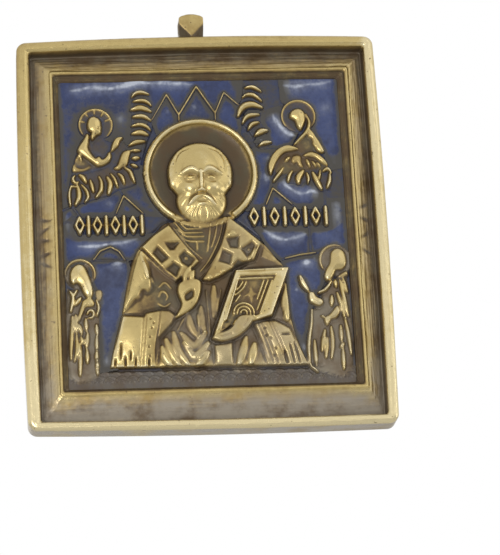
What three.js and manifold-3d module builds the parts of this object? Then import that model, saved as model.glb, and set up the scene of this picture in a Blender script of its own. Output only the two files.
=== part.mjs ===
// An upright cast-brass icon with glassy enamel fused into its hollows and a loop on its top edge.
//
// Drawing frame: x to the right, y up the icon, h out of the front, in millimetres, from the
// middle of the flat back. The finished group stands upright with its front facing -Y and its
// origin in the middle of the loop's eye.
//
// The picture inside the border is drawn in shares: a point [across, up] is a share of the
// picture's width and of its height, from the picture's middle.

import * as THREE from 'three';
import { mergeVertices } from 'three/addons/utils/BufferGeometryUtils.js';
import Module from 'manifold-3d';

const wasm = await Module();
wasm.setup();

// Plate and border, millimetres. The border is wider above and below than at the sides by a
// share, and the plate's top and foot slant up and down to the right.
const plaqueWidth = 52;
const plaqueHeight = 58.2;
const plaqueThickness = 4.2;
const cornerRadius = 1.3;
const innerCornerRadius = 0.4;
const sideBow = 0.33;
const topBow = 0.55;
const footBow = 0.3;
const topSlant = 0.2;
const footSlant = 0.4;
const backEdge = 0.3;
const rimWidth = 1.5;
const rimEdge = 0.45;
const channelWidth = 2.3;
const channelFloor = 1.9;
const channelRise = 0.65;
const beadWidth = 0.6;
const beadTop = 2.85;
const ledgeWidth = 1.3;
const endBorderShare = 1.065;
const ledgeTop = 2.3;
const groundTop = 1.6;

// How far the picture lies off the plate's middle
const pictureShiftAcross = 0.26;
const pictureShiftUp = 0.27;

// Enamel: its depth over the ground, and the gap it keeps to the metal round it
const enamelDepth = 0.5;
const enamelGap = 0.12;

// Heights of the relief over the ground, lowest to highest
const landRise = 0.56;
const lineRise = 0.85;
const gownRise = 0.95;
const robeRise = 1.0;
const ornamentRise = 1.2;
const bandRise = 1.25;
const foldRise = 1.4;
const sleeveRise = 1.5;
const bookRise = 1.6;
const handRise = 1.9;

// Rounding of upper edges, and how far raised forms are sunk into what carries them
const softEdge = 0.3;
const fineEdge = 0.16;
const sink = 0.1;
const overrun = 1;

// Widths of raised lines
const cellLineWidth = 0.34;
const fineFoldWidth = 0.36;
const foldWidth = 0.6;
const fingerWidth = 0.85;
const petalWidth = 0.75;
const cloudArcWidth = 0.62;
const limbWidth = 1.25;

// Main halo: a hollowed disc in a round rim, open at the shoulders for a share of its turn. Its
// radius is a share of the picture's shorter side.
const haloRadiusShare = 0.207;
const haloRimWidth = 0.9;
const haloRimRise = 1.45;
const haloEdgeRise = 0.8;
const haloDishRise = 0.62;
const haloHollow = 0.2;
const haloOpeningShare = 0.19;

// Haloes of the figures at the sides and of the half-figures above
const sideHaloRadius = 2.2;
const upperHaloRadius = 2.6;
const smallHaloWidth = 0.42;

// Heads
const headWidth = 7.4;
const headHeight = 10.6;
const headRise = 2.25;
const socketFloorRise = 1.93;
const smallHeadWidth = 2.4;
const smallHeadHeight = 3.5;
const smallHeadRise = 1.45;

// Ornament rows beside the main halo, their pitch a share of the picture's width
const ornamentPitchShare = 0.0315;
const ornamentHeight = 2.1;
const ornamentBarWidth = 0.6;

// Crosses on the two bands of the vestment: sunk squares set apart by the cross's bars
const squareWidth = 1.45;
const crossBarWidth = 0.95;

// Loop, its seat on the top edge and the eye through it
const loopWidth = 3.9;
const loopHeight = 3.5;
const loopDepth = 3.4;
const loopOffset = -0.55;
const eyeRadius = 0.8;
const seatBorder = 0.12;
const seatRise = 0.2;

// Sizes that follow from these
const borderWidth = rimWidth + channelWidth + beadWidth + ledgeWidth;
const pictureWidth = plaqueWidth - 2 * borderWidth;
const pictureHeight = plaqueHeight - 2 * borderWidth * endBorderShare;
const haloRadius = haloRadiusShare * Math.min(pictureWidth, pictureHeight);
const ornamentPitch = ornamentPitchShare * pictureWidth;
const middleLevel = plaqueThickness / 2;
const loopSeat = plaqueHeight / 2 + topBow + seatRise;
const eyeUp = loopSeat + loopHeight / 2;

const polishedBrass = new THREE.MeshStandardMaterial({ color: 0xb3935a, roughness: 0.38, metalness: 0.95 });
const dullBrass = new THREE.MeshStandardMaterial({ color: 0xa1854f, roughness: 0.45, metalness: 0.9 });
const blueEnamel = new THREE.MeshStandardMaterial({ color: 0x27407f, roughness: 0.16, metalness: 0 });

// Points of the picture from their shares of its width and height
const at = ([across, up]) => new THREE.Vector2(
  across * pictureWidth + pictureShiftAcross,
  up * pictureHeight + pictureShiftUp,
);
const trace = (shares) => shares.map(at);

// Points along a smooth curve through the given ones
function smooth(points, stepsEach = 2, closed = false) {
  const knots = points.map((p) => new THREE.Vector3(p.x, p.y, 0));
  const curve = new THREE.CatmullRomCurve3(knots, closed, 'centripetal');
  const spans = closed ? points.length : points.length - 1;
  const samples = curve.getPoints(stepsEach * spans);
  if (closed) samples.pop();
  return samples.map((p) => new THREE.Vector2(p.x, p.y));
}

// Points along a circle from one angle to another
function arc(centre, radius, start, end, steps) {
  return Array.from({ length: steps + 1 }, (_, i) => {
    const angle = start + (end - start) * i / steps;
    return new THREE.Vector2(centre.x + radius * Math.cos(angle), centre.y + radius * Math.sin(angle));
  });
}

// A closed mesh as a solid, turned the right way out
function solidOf(geometry) {
  geometry.deleteAttribute('normal');
  geometry.deleteAttribute('uv');
  const merged = mergeVertices(geometry);
  const places = merged.attributes.position.array;
  const faces = merged.index.array;
  const kept = [];
  let volume = 0;
  for (let i = 0; i < faces.length; i += 3) {
    const [a, b, c] = faces.slice(i, i + 3);
    if (a === b || b === c || c === a) continue;
    kept.push(a, b, c);
    const [p, q, r] = [a, b, c].map((n) => new THREE.Vector3().fromArray(places, 3 * n));
    volume += p.dot(q.cross(r));
  }
  if (volume < 0) kept.reverse();
  return new wasm.Manifold(new wasm.Mesh({
    numProp: 3,
    vertProperties: new Float32Array(places),
    triVerts: new Uint32Array(kept),
  }));
}

// Solids joined into one
const together = (solids) => solids.reduce((all, solid) => all.add(solid));

// Triangles of a solid's largest body, without the slivers that a cut leaves beside it
function largestBody(places, faces) {
  const links = Array.from({ length: places.length / 3 }, (_, i) => i);
  const rootOf = (i) => {
    let root = i;
    while (links[root] !== root) root = links[root];
    return root;
  };
  for (let i = 0; i < faces.length; i += 3) {
    const [a, b, c] = faces.subarray(i, i + 3);
    links[rootOf(b)] = rootOf(a);
    links[rootOf(c)] = rootOf(a);
  }
  const bodies = {};
  for (let i = 0; i < faces.length; i += 3) {
    const corners = faces.slice(i, i + 3);
    const [p, q, r] = [...corners].map((n) => new THREE.Vector3().fromArray(places, 3 * n));
    const body = bodies[rootOf(corners[0])] ??= { volume: 0, faces: [] };
    body.volume += p.dot(q.cross(r));
    body.faces.push(...corners);
  }
  return Object.values(bodies).reduce((best, body) => (body.volume > best.volume ? body : best)).faces;
}

// Skin over rings of equally many points, closed at both ends round their middles
function loft(rings) {
  const count = rings[0].length;
  const places = rings.flat();
  const lastRing = places.length - count;
  const faces = [];
  const hubs = [rings[0], rings.at(-1)].map((ring) => {
    const middle = new THREE.Vector3();
    for (const p of ring) middle.addScaledVector(p, 1 / count);
    return places.push(middle) - 1;
  });
  for (let i = 0; i < count; i++) {
    const j = (i + 1) % count;
    faces.push(hubs[0], j, i, hubs[1], lastRing + i, lastRing + j);
    for (let start = 0; start < lastRing; start += count) {
      const next = start + count;
      faces.push(start + i, start + j, next + j, start + i, next + j, next + i);
    }
  }
  const geometry = new THREE.BufferGeometry();
  const numbers = places.flatMap((p) => p.toArray());
  geometry.setAttribute('position', new THREE.Float32BufferAttribute(numbers, 3));
  geometry.setIndex(faces);
  return solidOf(geometry);
}

// Upright walls over an outline, from a level up
function prism(outline, level, depth) {
  const geometry = new THREE.ExtrudeGeometry(new THREE.Shape(outline), { depth, bevelEnabled: false });
  geometry.translate(0, 0, level);
  return solidOf(geometry);
}

// Raised land inside an outline, its upper edge rounded, or grown sideways with upright walls
function pad(outline, rise, edge, grow = 0) {
  const foot = groundTop - edge;
  const geometry = new THREE.ExtrudeGeometry(new THREE.Shape(outline), {
    depth: rise,
    bevelEnabled: true,
    bevelThickness: edge,
    bevelSize: grow ? 0 : edge,
    bevelOffset: grow ? grow : -edge,
    bevelSegments: grow || edge < softEdge ? 1 : 2,
  });
  geometry.translate(0, 0, foot);
  return solidOf(geometry);
}

// A raised line along a route: even, or full in the middle and thin at both ends
function ridge(route, width, rise, { swell = false, grow = 0, from = 0 } = {}) {
  const last = route.length - 1;
  const crestShare = 0.42;
  const tipShare = 0.3;
  const foot = groundTop + (grow ? 0 : from) - sink;
  const crown = groundTop + rise;
  const rings = route.map((point, i) => {
    const inward = point.clone().sub(route[Math.max(i - 1, 0)]).normalize();
    const outward = route[Math.min(i + 1, last)].clone().sub(point).normalize();
    if (i === 0) inward.copy(outward);
    if (i === last) outward.copy(inward);
    const along = inward.clone().add(outward).normalize();
    const mitre = 1 / Math.max(along.dot(inward), crestShare);
    const fullness = swell ? tipShare + (1 - tipShare) * Math.sin(Math.PI * i / last) : 1;
    const half = mitre * (width * fullness / 2 + grow);
    const crest = grow ? half : half * crestShare;
    const centre = point.clone();
    if (i === 0) centre.addScaledVector(along, -grow);
    if (i === last) centre.addScaledVector(along, grow);
    const section = [[-half, foot], [-crest, crown], [crest, crown], [half, foot]];
    return section.map(([side, level]) => {
      const place = centre.clone().add(new THREE.Vector2(-along.y, along.x).multiplyScalar(side));
      return new THREE.Vector3(place.x, place.y, level);
    });
  });
  return loft(rings);
}

// A rounded mound: an ellipsoid whose middle lies on a level over the ground
function mound(centre, across, up, rise, { tilt = 0, from = 0, around = 8 } = {}) {
  const ball = new THREE.SphereGeometry(1, around, around / 2 + 1);
  ball.rotateX(Math.PI / 2);
  ball.scale(across / 2, up / 2, rise - from);
  ball.rotateZ(tilt);
  ball.translate(centre.x, centre.y, groundTop + from);
  return solidOf(ball);
}

// A round land from its section of [radius, rise] points, outermost last
function roundLand(centre, section, segments) {
  const foot = groundTop - sink;
  const profile = section.map(([radius, rise]) => new THREE.Vector2(radius, groundTop + rise)).reverse();
  profile.unshift(new THREE.Vector2(0, foot), new THREE.Vector2(profile[0].x, foot));
  const lathe = new THREE.LatheGeometry(profile, segments);
  lathe.rotateX(Math.PI / 2);
  lathe.translate(centre.x, centre.y, 0);
  return solidOf(lathe);
}

// The space inside the border, which nothing in the picture may leave
function pictureBlock(inset) {
  const across = pictureWidth - 2 * inset;
  const up = pictureHeight - 2 * inset;
  const block = new THREE.BoxGeometry(across, up, plaqueThickness);
  block.translate(pictureShiftAcross, pictureShiftUp, plaqueThickness / 2 + sink);
  return solidOf(block);
}
const pictureSpace = pictureBlock(-sink);

// All that is raised on the plate, and the same forms grown by the enamel's gap
const relief = [];
const enamelBounds = [];
const detail = (solid) => relief.push(solid);
function emboss(make) {
  detail(make(0).intersect(pictureSpace));
  const bound = make(enamelGap);
  enamelBounds.push(bound);
  return bound;
}
const embossPad = (outline, rise, edge) => emboss((grow) => pad(outline, rise, edge, grow));
const embossLine = (route, width, rise, from = 0) =>
  emboss((grow) => ridge(route, width, rise, { swell: true, grow, from }));

// One ring of the border: a rectangle with round corners. Towards the rim its sides bow out and its
// ends slant, and from the rim inwards it lies round the picture's middle.
function borderRing(inset, level) {
  const cornerSteps = 3;
  const sideSteps = 6;
  const halfWidth = plaqueWidth / 2 - inset;
  const halfHeight = plaqueHeight / 2 - inset * endBorderShare;
  const radius = Math.max(cornerRadius - inset, innerCornerRadius);
  const bowShare = Math.max(1 - inset / (rimWidth + channelWidth), 0);
  const shiftShare = Math.min(inset / rimWidth, 1);
  const corners = [[1, 1], [-1, 1], [-1, -1], [1, -1]].map(([sideX, sideY], turn) => {
    const centre = new THREE.Vector2(sideX * (halfWidth - radius), sideY * (halfHeight - radius));
    return arc(centre, radius, turn * Math.PI / 2, (turn + 1) * Math.PI / 2, cornerSteps);
  });
  const ring = corners.flatMap((corner, turn) => {
    const end = corner.at(-1);
    const next = corners[(turn + 1) % corners.length][0];
    const side = Array.from({ length: sideSteps }, (_, i) => end.clone().lerp(next, i / sideSteps));
    return [...corner, ...side.slice(1)];
  });
  return ring.map((p) => {
    const besideShare = 1 - (p.y / halfHeight) ** 2;
    const aboveShare = 1 - (p.x / halfWidth) ** 2;
    const endBow = p.y > 0 ? topBow : footBow;
    const slant = (p.y > 0 ? topSlant : footSlant) / 2;
    const bowX = sideBow * bowShare * besideShare * p.x / halfWidth;
    const bowY = bowShare * (endBow * aboveShare + slant * p.x / halfWidth) * p.y / halfHeight;
    const shiftX = pictureShiftAcross * shiftShare;
    const shiftY = pictureShiftUp * shiftShare;
    return new THREE.Vector3(p.x + bowX + shiftX, p.y + bowY + shiftY, level);
  });
}

// Ground plate with its rim, sloped channel, bead and inner ledge, from the back round to the ground
function borderedPlate() {
  const channelEnd = rimWidth + channelWidth;
  const beadEnd = channelEnd + beadWidth;
  const channelTop = channelFloor + channelRise;
  const beadSide = (channelTop + beadTop) / 2;
  const rimTurn = rimEdge / 3;
  return loft([
    borderRing(backEdge, 0),
    borderRing(0, backEdge),
    borderRing(0, plaqueThickness - rimEdge),
    borderRing(rimTurn, plaqueThickness - rimTurn),
    borderRing(rimEdge, plaqueThickness),
    borderRing(rimWidth - rimEdge, plaqueThickness),
    borderRing(rimWidth - rimTurn, plaqueThickness - 2 * rimTurn),
    borderRing(rimWidth, channelFloor),
    borderRing(rimWidth + channelWidth / 2, channelFloor + channelRise / 3),
    borderRing(channelEnd, channelTop),
    borderRing(channelEnd + beadWidth / 5, beadSide),
    borderRing(channelEnd + beadWidth / 2, beadTop),
    borderRing(beadEnd - beadWidth / 5, beadSide),
    borderRing(beadEnd, ledgeTop),
    borderRing(borderWidth, ledgeTop - softEdge),
    borderRing(borderWidth, groundTop),
  ]);
}

// Main halo
const haloShares = [-0.007, 0.193];
function mainHalo() {
  const centre = at(haloShares);
  const rimRadius = haloRadius - haloRimWidth / 2;
  const start = -Math.PI / 2 + haloOpeningShare * Math.PI;
  const end = start + 2 * Math.PI * (1 - haloOpeningShare);
  const dishFloor = haloDishRise - haloHollow;
  emboss((grow) => roundLand(centre, [
    [0, dishFloor],
    [rimRadius / 2, dishFloor],
    [rimRadius - haloRimWidth, haloDishRise],
    [rimRadius + grow, haloEdgeRise],
  ], 32));
  emboss((grow) => ridge(arc(centre, rimRadius, start, end, 30), haloRimWidth, haloRimRise, { grow }));
}

// Main head: places are shares of its half width and half height from its middle, on the usual
// halves and thirds of a head, sizes are shares of its width and height, and rises of its rise.
// What has a right and a left is given once and mirrored.
const headShares = [-0.009, 0.158];
const skullShares = { place: [0, 0.1], size: [0.9, 0.88], rise: 1 };
const beardShares = { place: [0, -0.64], size: [0.86, 0.44], rise: 0.92 };
const socketShares = { place: [0.36, 0.02], size: [0.24, 0.09], rise: 1.3 };
const pairedMoundShares = [
  { place: [0.36, 0.02], size: [0.15, 0.05], rise: 0.94 },
  { place: [0.94, 0.42], size: [0.2, 0.42], rise: 0.62 },
  { place: [0.97, 0.02], size: [0.12, 0.2], rise: 0.6 },
];
const pairedLineShares = [
  { route: [[0.1, 0.08], [0.36, 0.17], [0.66, 0.08]], width: foldWidth, rise: 0.99 },
  { route: [[0.03, -0.36], [0.3, -0.42], [0.5, -0.58]], width: foldWidth, rise: 0.98 },
  { route: [[0.12, -0.62], [0.13, -0.82], [0.1, -1.01]], width: fineFoldWidth, rise: 0.9 },
  { route: [[0.34, -0.62], [0.37, -0.82], [0.27, -0.98]], width: fineFoldWidth, rise: 0.9 },
  { route: [[0.56, -0.62], [0.62, -0.82], [0.45, -0.95]], width: fineFoldWidth, rise: 0.9 },
];
const noseShares = [
  { up: 0.1, width: 0.095, rise: 0.96 },
  { up: -0.16, width: 0.14, rise: 1.08 },
  { up: -0.24, width: 0.19, rise: 1.1 },
  { up: -0.3, width: 0.13, rise: 0.9 },
];
function mainHead() {
  const middle = at(headShares);
  const spot = ([across, up], side = 1) =>
    new THREE.Vector2(middle.x + side * across * headWidth / 2, middle.y + up * headHeight / 2);
  const lump = ({ place, size, rise }, side, options) =>
    mound(spot(place, side), size[0] * headWidth, size[1] * headHeight, rise * headRise, options);
  const parts = [lump(beardShares, 1, { from: haloDishRise, around: 12 })];
  let skull = lump(skullShares, 1, { from: haloDishRise, around: 14 });
  for (const side of [-1, 1]) {
    skull = skull.subtract(lump(socketShares, side, { from: socketFloorRise }));
    for (const shares of pairedMoundShares) parts.push(lump(shares, side));
    for (const { route, width, rise } of pairedLineShares) {
      const path = route.map((share) => spot(share, side));
      parts.push(ridge(path, width, rise * headRise, { swell: true, from: landRise }));
    }
  }
  const noseRings = noseShares.map(({ up, width, rise }) => {
    const half = width * headWidth / 2;
    const centre = spot([0, up]);
    const section = [
      [-half, landRise], [-half / 2, rise * headRise], [half / 2, rise * headRise], [half, landRise],
    ];
    return section.map(([side, level]) => new THREE.Vector3(centre.x + side, centre.y, groundTop + level));
  });
  detail(together([skull, loft(noseRings), ...parts]));
}

// Vestments of the half-length main figure
const robeShares = [
  [-0.127, 0.035], [-0.176, 0.005], [-0.217, -0.025], [-0.247, -0.056], [-0.266, -0.092],
  [-0.281, -0.138], [-0.296, -0.192], [-0.31, -0.257], [-0.327, -0.313], [-0.347, -0.378],
  [-0.359, -0.437], [0.329, -0.442], [0.312, -0.381], [0.292, -0.307], [0.28, -0.216], [0.277, -0.129],
  [0.248, -0.092], [0.201, -0.038], [0.133, 0.014], [0.081, 0.047], [0.008, 0.028],
];
const leafSleeveShares = [
  [-0.247, -0.064], [-0.266, -0.105], [-0.281, -0.157], [-0.293, -0.205], [-0.293, -0.244],
  [-0.261, -0.218], [-0.229, -0.194], [-0.212, -0.205], [-0.195, -0.179], [-0.207, -0.114],
  [-0.227, -0.075],
];
const leftCuffShares = [
  [-0.308, -0.268], [-0.225, -0.268], [-0.146, -0.255], [-0.117, -0.273], [-0.134, -0.303],
  [-0.173, -0.344], [-0.185, -0.387], [-0.193, -0.433], [-0.349, -0.432], [-0.327, -0.344],
];
const rightCuffShares = [
  [0.143, -0.291], [0.223, -0.29], [0.28, -0.32], [0.304, -0.381], [0.319, -0.437], [0.194, -0.437],
  [0.167, -0.359],
];
const lapShares = [[0.008, -0.371], [0.069, -0.36], [0.072, -0.434], [0.008, -0.436]];
const shoulderShares = [
  [0.204, -0.057], [0.243, -0.094], [0.255, -0.112], [0.223, -0.11], [0.189, -0.096],
];
const foldShares = [
  [[-0.105, -0.325], [-0.061, -0.371], [-0.021, -0.336]],
  [[-0.095, -0.36], [-0.058, -0.405], [-0.012, -0.364]],
  [[-0.127, -0.329], [-0.117, -0.383], [-0.08, -0.431]],
  [[-0.161, -0.353], [-0.141, -0.396], [-0.112, -0.431]],
  [[-0.176, -0.379], [-0.168, -0.409], [-0.151, -0.431]],
  [[-0.012, -0.397], [-0.034, -0.418], [-0.051, -0.431]],
  [[0.118, -0.352], [0.106, -0.393], [0.091, -0.432]],
  [[0.15, -0.374], [0.14, -0.406], [0.133, -0.432]],
  [[-0.075, -0.277], [-0.068, -0.314], [-0.051, -0.34]],
  [[-0.029, -0.254], [-0.031, -0.293], [-0.026, -0.323]],
  [[-0.176, -0.208], [-0.158, -0.232], [-0.139, -0.206]],
  [[-0.173, -0.175], [-0.154, -0.158], [-0.134, -0.184]],
  [[-0.229, -0.251], [-0.19, -0.247], [-0.156, -0.242]],
  [[0.27, -0.181], [0.265, -0.233], [0.27, -0.294]],
  [[0.25, -0.216], [0.238, -0.255], [0.236, -0.281]],
];
const collarShares = [
  [[-0.112, 0.031], [-0.083, 0], [-0.058, -0.004], [-0.002, -0.005]],
  [[-0.1, 0.009], [-0.075, -0.015], [-0.051, -0.018], [-0.002, -0.019]],
  [[-0.085, -0.011], [-0.065, -0.03], [-0.038, -0.035], [-0.002, -0.035]],
  [[0.013, 0.021], [0.008, -0.028], [0.001, -0.083]],
  [[0.037, 0.021], [0.025, -0.033], [0.006, -0.098]],
  [[0.062, 0.03], [0.033, -0.046], [-0.004, -0.119]],
];
const cuffStripeShares = [
  [[-0.227, -0.27], [-0.237, -0.344], [-0.247, -0.431]],
  [[-0.21, -0.268], [-0.22, -0.344], [-0.229, -0.431]],
  [[-0.158, -0.262], [-0.176, -0.309], [-0.19, -0.361]],
  [[0.152, -0.298], [0.175, -0.359], [0.201, -0.432]],
  [[0.177, -0.296], [0.201, -0.359], [0.231, -0.433]],
  [[0.197, -0.296], [0.223, -0.359], [0.255, -0.433]],
  [[0.246, -0.372], [0.263, -0.407], [0.275, -0.433]],
  [[0.275, -0.372], [0.29, -0.407], [0.299, -0.433]],
];
function vestments() {
  embossPad(trace(robeShares), robeRise, softEdge);
  detail(pad(trace(leafSleeveShares), sleeveRise, softEdge));
  for (const shares of [leftCuffShares, rightCuffShares, lapShares, shoulderShares]) {
    detail(pad(trace(shares), foldRise, softEdge));
  }
  for (const route of foldShares) {
    detail(ridge(smooth(trace(route)), foldWidth, foldRise, { swell: true, from: robeRise }));
  }
  for (const route of collarShares) {
    detail(ridge(smooth(trace(route)), fineFoldWidth, bandRise, { from: robeRise }));
  }
  for (const route of cuffStripeShares) {
    detail(ridge(trace(route), fineFoldWidth, foldRise + sink, { from: foldRise }));
  }
}

// Bands of the vestment, each with a cross left standing between four sunk squares
const crossBandShares = [
  {
    bandShares: [
      [-0.234, -0.051], [-0.185, -0.008], [-0.129, 0.026], [-0.085, -0.032], [-0.029, -0.102],
      [-0.068, -0.132], [-0.117, -0.162],
    ],
    crossShares: [-0.125, -0.081],
    turn: 0.86,
  },
  {
    bandShares: [
      [0.084, 0.043], [0.133, 0.01], [0.189, -0.034], [0.165, -0.098], [0.104, -0.122],
      [0.057, -0.141], [0.006, -0.154], [0.05, -0.05],
    ],
    crossShares: [0.107, -0.071],
    turn: -0.86,
  },
];
function crossBand({ bandShares, crossShares, turn }) {
  const spread = (squareWidth + crossBarWidth) / 2;
  const squares = [[1, 1], [-1, 1], [-1, -1], [1, -1]].map(([sideX, sideY]) => {
    const square = new THREE.BoxGeometry(squareWidth, squareWidth, overrun);
    square.translate(sideX * spread, sideY * spread, groundTop + robeRise + overrun / 2);
    square.rotateZ(turn);
    const { x, y } = at(crossShares);
    square.translate(x, y, 0);
    return solidOf(square);
  });
  detail(pad(trace(bandShares), bandRise, fineEdge).subtract(together(squares)));
}

// Book held up against the chest, its framed panel carved with an arch, a star and lines
const bookShares = [
  [0.096, -0.131], [0.277, -0.127], [0.204, -0.283], [0.143, -0.315], [0.001, -0.351],
];
const bookPanelShares = [[0.108, -0.155], [0.231, -0.153], [0.172, -0.274], [0.05, -0.304]];
const bookStarShares = [
  [0.152, -0.176], [0.165, -0.205], [0.182, -0.213], [0.16, -0.22], [0.148, -0.241], [0.14, -0.22],
  [0.118, -0.213], [0.145, -0.202],
];
const bookLineShares = [
  [[0.084, -0.274], [0.096, -0.243], [0.123, -0.237], [0.143, -0.25], [0.143, -0.272]],
  [[0.211, -0.17], [0.175, -0.25]],
  [[0.228, -0.17], [0.189, -0.257]],
];
function book() {
  const relievedBy = bookRise - robeRise;
  const panelRise = robeRise + relievedBy / 3;
  const carvedRise = bookRise - relievedBy / 4;
  const panel = prism(trace(bookPanelShares), groundTop + panelRise, overrun);
  detail(pad(trace(bookShares), bookRise, fineEdge).subtract(panel));
  detail(pad(trace(bookStarShares), carvedRise, fineEdge / 2));
  for (const route of bookLineShares) {
    detail(ridge(trace(route), fineFoldWidth, carvedRise, { from: robeRise }));
  }
}

// Hands: one blessing before the chest, one under the book
const palmShares = [
  [-0.107, -0.186], [-0.095, -0.167], [-0.07, -0.158], [-0.048, -0.165], [-0.034, -0.187],
  [-0.038, -0.213], [-0.056, -0.236], [-0.083, -0.256], [-0.109, -0.273], [-0.119, -0.258],
  [-0.102, -0.227],
];
const palmHollowShares = [
  [-0.087, -0.206], [-0.07, -0.195], [-0.053, -0.204], [-0.056, -0.219], [-0.073, -0.228],
];
const raisedFingerShares = [
  [[-0.078, -0.169], [-0.07, -0.145], [-0.056, -0.117]],
  [[-0.058, -0.169], [-0.056, -0.15], [-0.046, -0.134]],
];
const holdingHandShares = [
  [-0.004, -0.356], [0.03, -0.345], [0.059, -0.326], [0.072, -0.3], [0.133, -0.296], [0.15, -0.313],
  [0.104, -0.337], [0.05, -0.36], [0.01, -0.367],
];
function hands() {
  const hollow = prism(trace(palmHollowShares), groundTop + robeRise, overrun);
  detail(pad(trace(palmShares), handRise, softEdge).subtract(hollow));
  for (const route of raisedFingerShares) {
    detail(ridge(smooth(trace(route)), fingerWidth, handRise, { swell: true, from: robeRise }));
  }
  detail(pad(trace(holdingHandShares), handRise, softEdge));
}

// Head of a small figure: a mound with a beard under it
const smallBeardShares = { width: 0.7, height: 0.72, rise: 0.88 };
const upperScaleShare = 0.88;
function smallHead({ headShares: face, beardShares: chin, tilt }, scaleShare) {
  const width = scaleShare * smallHeadWidth;
  const height = scaleShare * smallHeadHeight;
  const beard = smallBeardShares;
  const beardWidth = beard.width * width;
  const beardHeight = beard.height * height;
  detail(mound(at(face), width, height, smallHeadRise, { tilt }));
  detail(mound(at(chin), beardWidth, beardHeight, beard.rise * smallHeadRise, { tilt: 2 * tilt }));
}

// Standing figures at both sides of the picture, their haloes given by start and end in half turns
const sideFigureShares = [
  {
    haloShares: [-0.449, -0.133],
    haloSpan: [-0.05, 1.05],
    headShares: [-0.457, -0.141],
    beardShares: [-0.435, -0.183],
    tilt: 0.15,
    gownShares: [
      [-0.509, -0.204], [-0.479, -0.178], [-0.425, -0.174], [-0.386, -0.185], [-0.376, -0.222],
      [-0.386, -0.278], [-0.386, -0.365], [-0.391, -0.458], [-0.509, -0.458],
    ],
    limbShares: [
      [[-0.484, -0.193], [-0.467, -0.213], [-0.455, -0.226]],
      [[-0.411, -0.217], [-0.438, -0.235], [-0.46, -0.278]],
      [[-0.408, -0.196], [-0.393, -0.189], [-0.384, -0.198]],
    ],
    foldShares: [
      [[-0.487, -0.234], [-0.489, -0.321], [-0.491, -0.399]],
      [[-0.472, -0.278], [-0.474, -0.334], [-0.477, -0.382]],
      [[-0.46, -0.295], [-0.452, -0.321], [-0.445, -0.343]],
      [[-0.46, -0.365], [-0.46, -0.408], [-0.462, -0.451]],
      [[-0.435, -0.282], [-0.435, -0.343], [-0.435, -0.421]],
      [[-0.398, -0.291], [-0.398, -0.343], [-0.401, -0.443]],
    ],
  },
  {
    haloShares: [0.454, -0.106],
    haloSpan: [0.42, 1.06],
    headShares: [0.461, -0.104],
    beardShares: [0.434, -0.152],
    tilt: -0.12,
    gownShares: [
      [0.417, -0.178], [0.466, -0.15], [0.5, -0.152], [0.5, -0.462], [0.353, -0.463], [0.334, -0.433],
      [0.334, -0.368], [0.346, -0.281], [0.358, -0.251], [0.388, -0.217],
    ],
    limbShares: [
      [[0.326, -0.158], [0.336, -0.182], [0.348, -0.201]],
      [[0.356, -0.21], [0.363, -0.229], [0.392, -0.243]],
      [[0.405, -0.308], [0.422, -0.293], [0.449, -0.273]],
      [[0.39, -0.21], [0.412, -0.199], [0.432, -0.182]],
    ],
    foldShares: [
      [[0.356, -0.273], [0.346, -0.346], [0.339, -0.433]],
      [[0.358, -0.381], [0.358, -0.411], [0.365, -0.455]],
      [[0.397, -0.338], [0.39, -0.368], [0.383, -0.399]],
      [[0.41, -0.36], [0.402, -0.39], [0.397, -0.425]],
      [[0.422, -0.321], [0.419, -0.368], [0.417, -0.433]],
      [[0.456, -0.321], [0.454, -0.39], [0.456, -0.455]],
      [[0.471, -0.299], [0.481, -0.347], [0.488, -0.408]],
      [[0.456, -0.212], [0.471, -0.26], [0.476, -0.295]],
      [[0.471, -0.178], [0.483, -0.208], [0.49, -0.26]],
    ],
  },
];
function sideFigure(figure) {
  const centre = at(figure.haloShares);
  const rimRadius = sideHaloRadius - smallHaloWidth / 2;
  const [start, end] = figure.haloSpan.map((halfTurns) => halfTurns * Math.PI);
  emboss((grow) => roundLand(centre, [[0, landRise], [rimRadius + grow, landRise]], 16));
  emboss((grow) => ridge(arc(centre, rimRadius, start, end, 10), smallHaloWidth, gownRise, { grow }));
  embossPad(smooth(trace(figure.gownShares), 1, true), landRise + sink, fineEdge);
  smallHead(figure, 1);
  for (const route of figure.limbShares) embossLine(trace(route), petalWidth, gownRise + sink);
  for (const route of figure.foldShares) {
    detail(ridge(trace(route), fineFoldWidth, gownRise, { swell: true, from: landRise }));
  }
}

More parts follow.
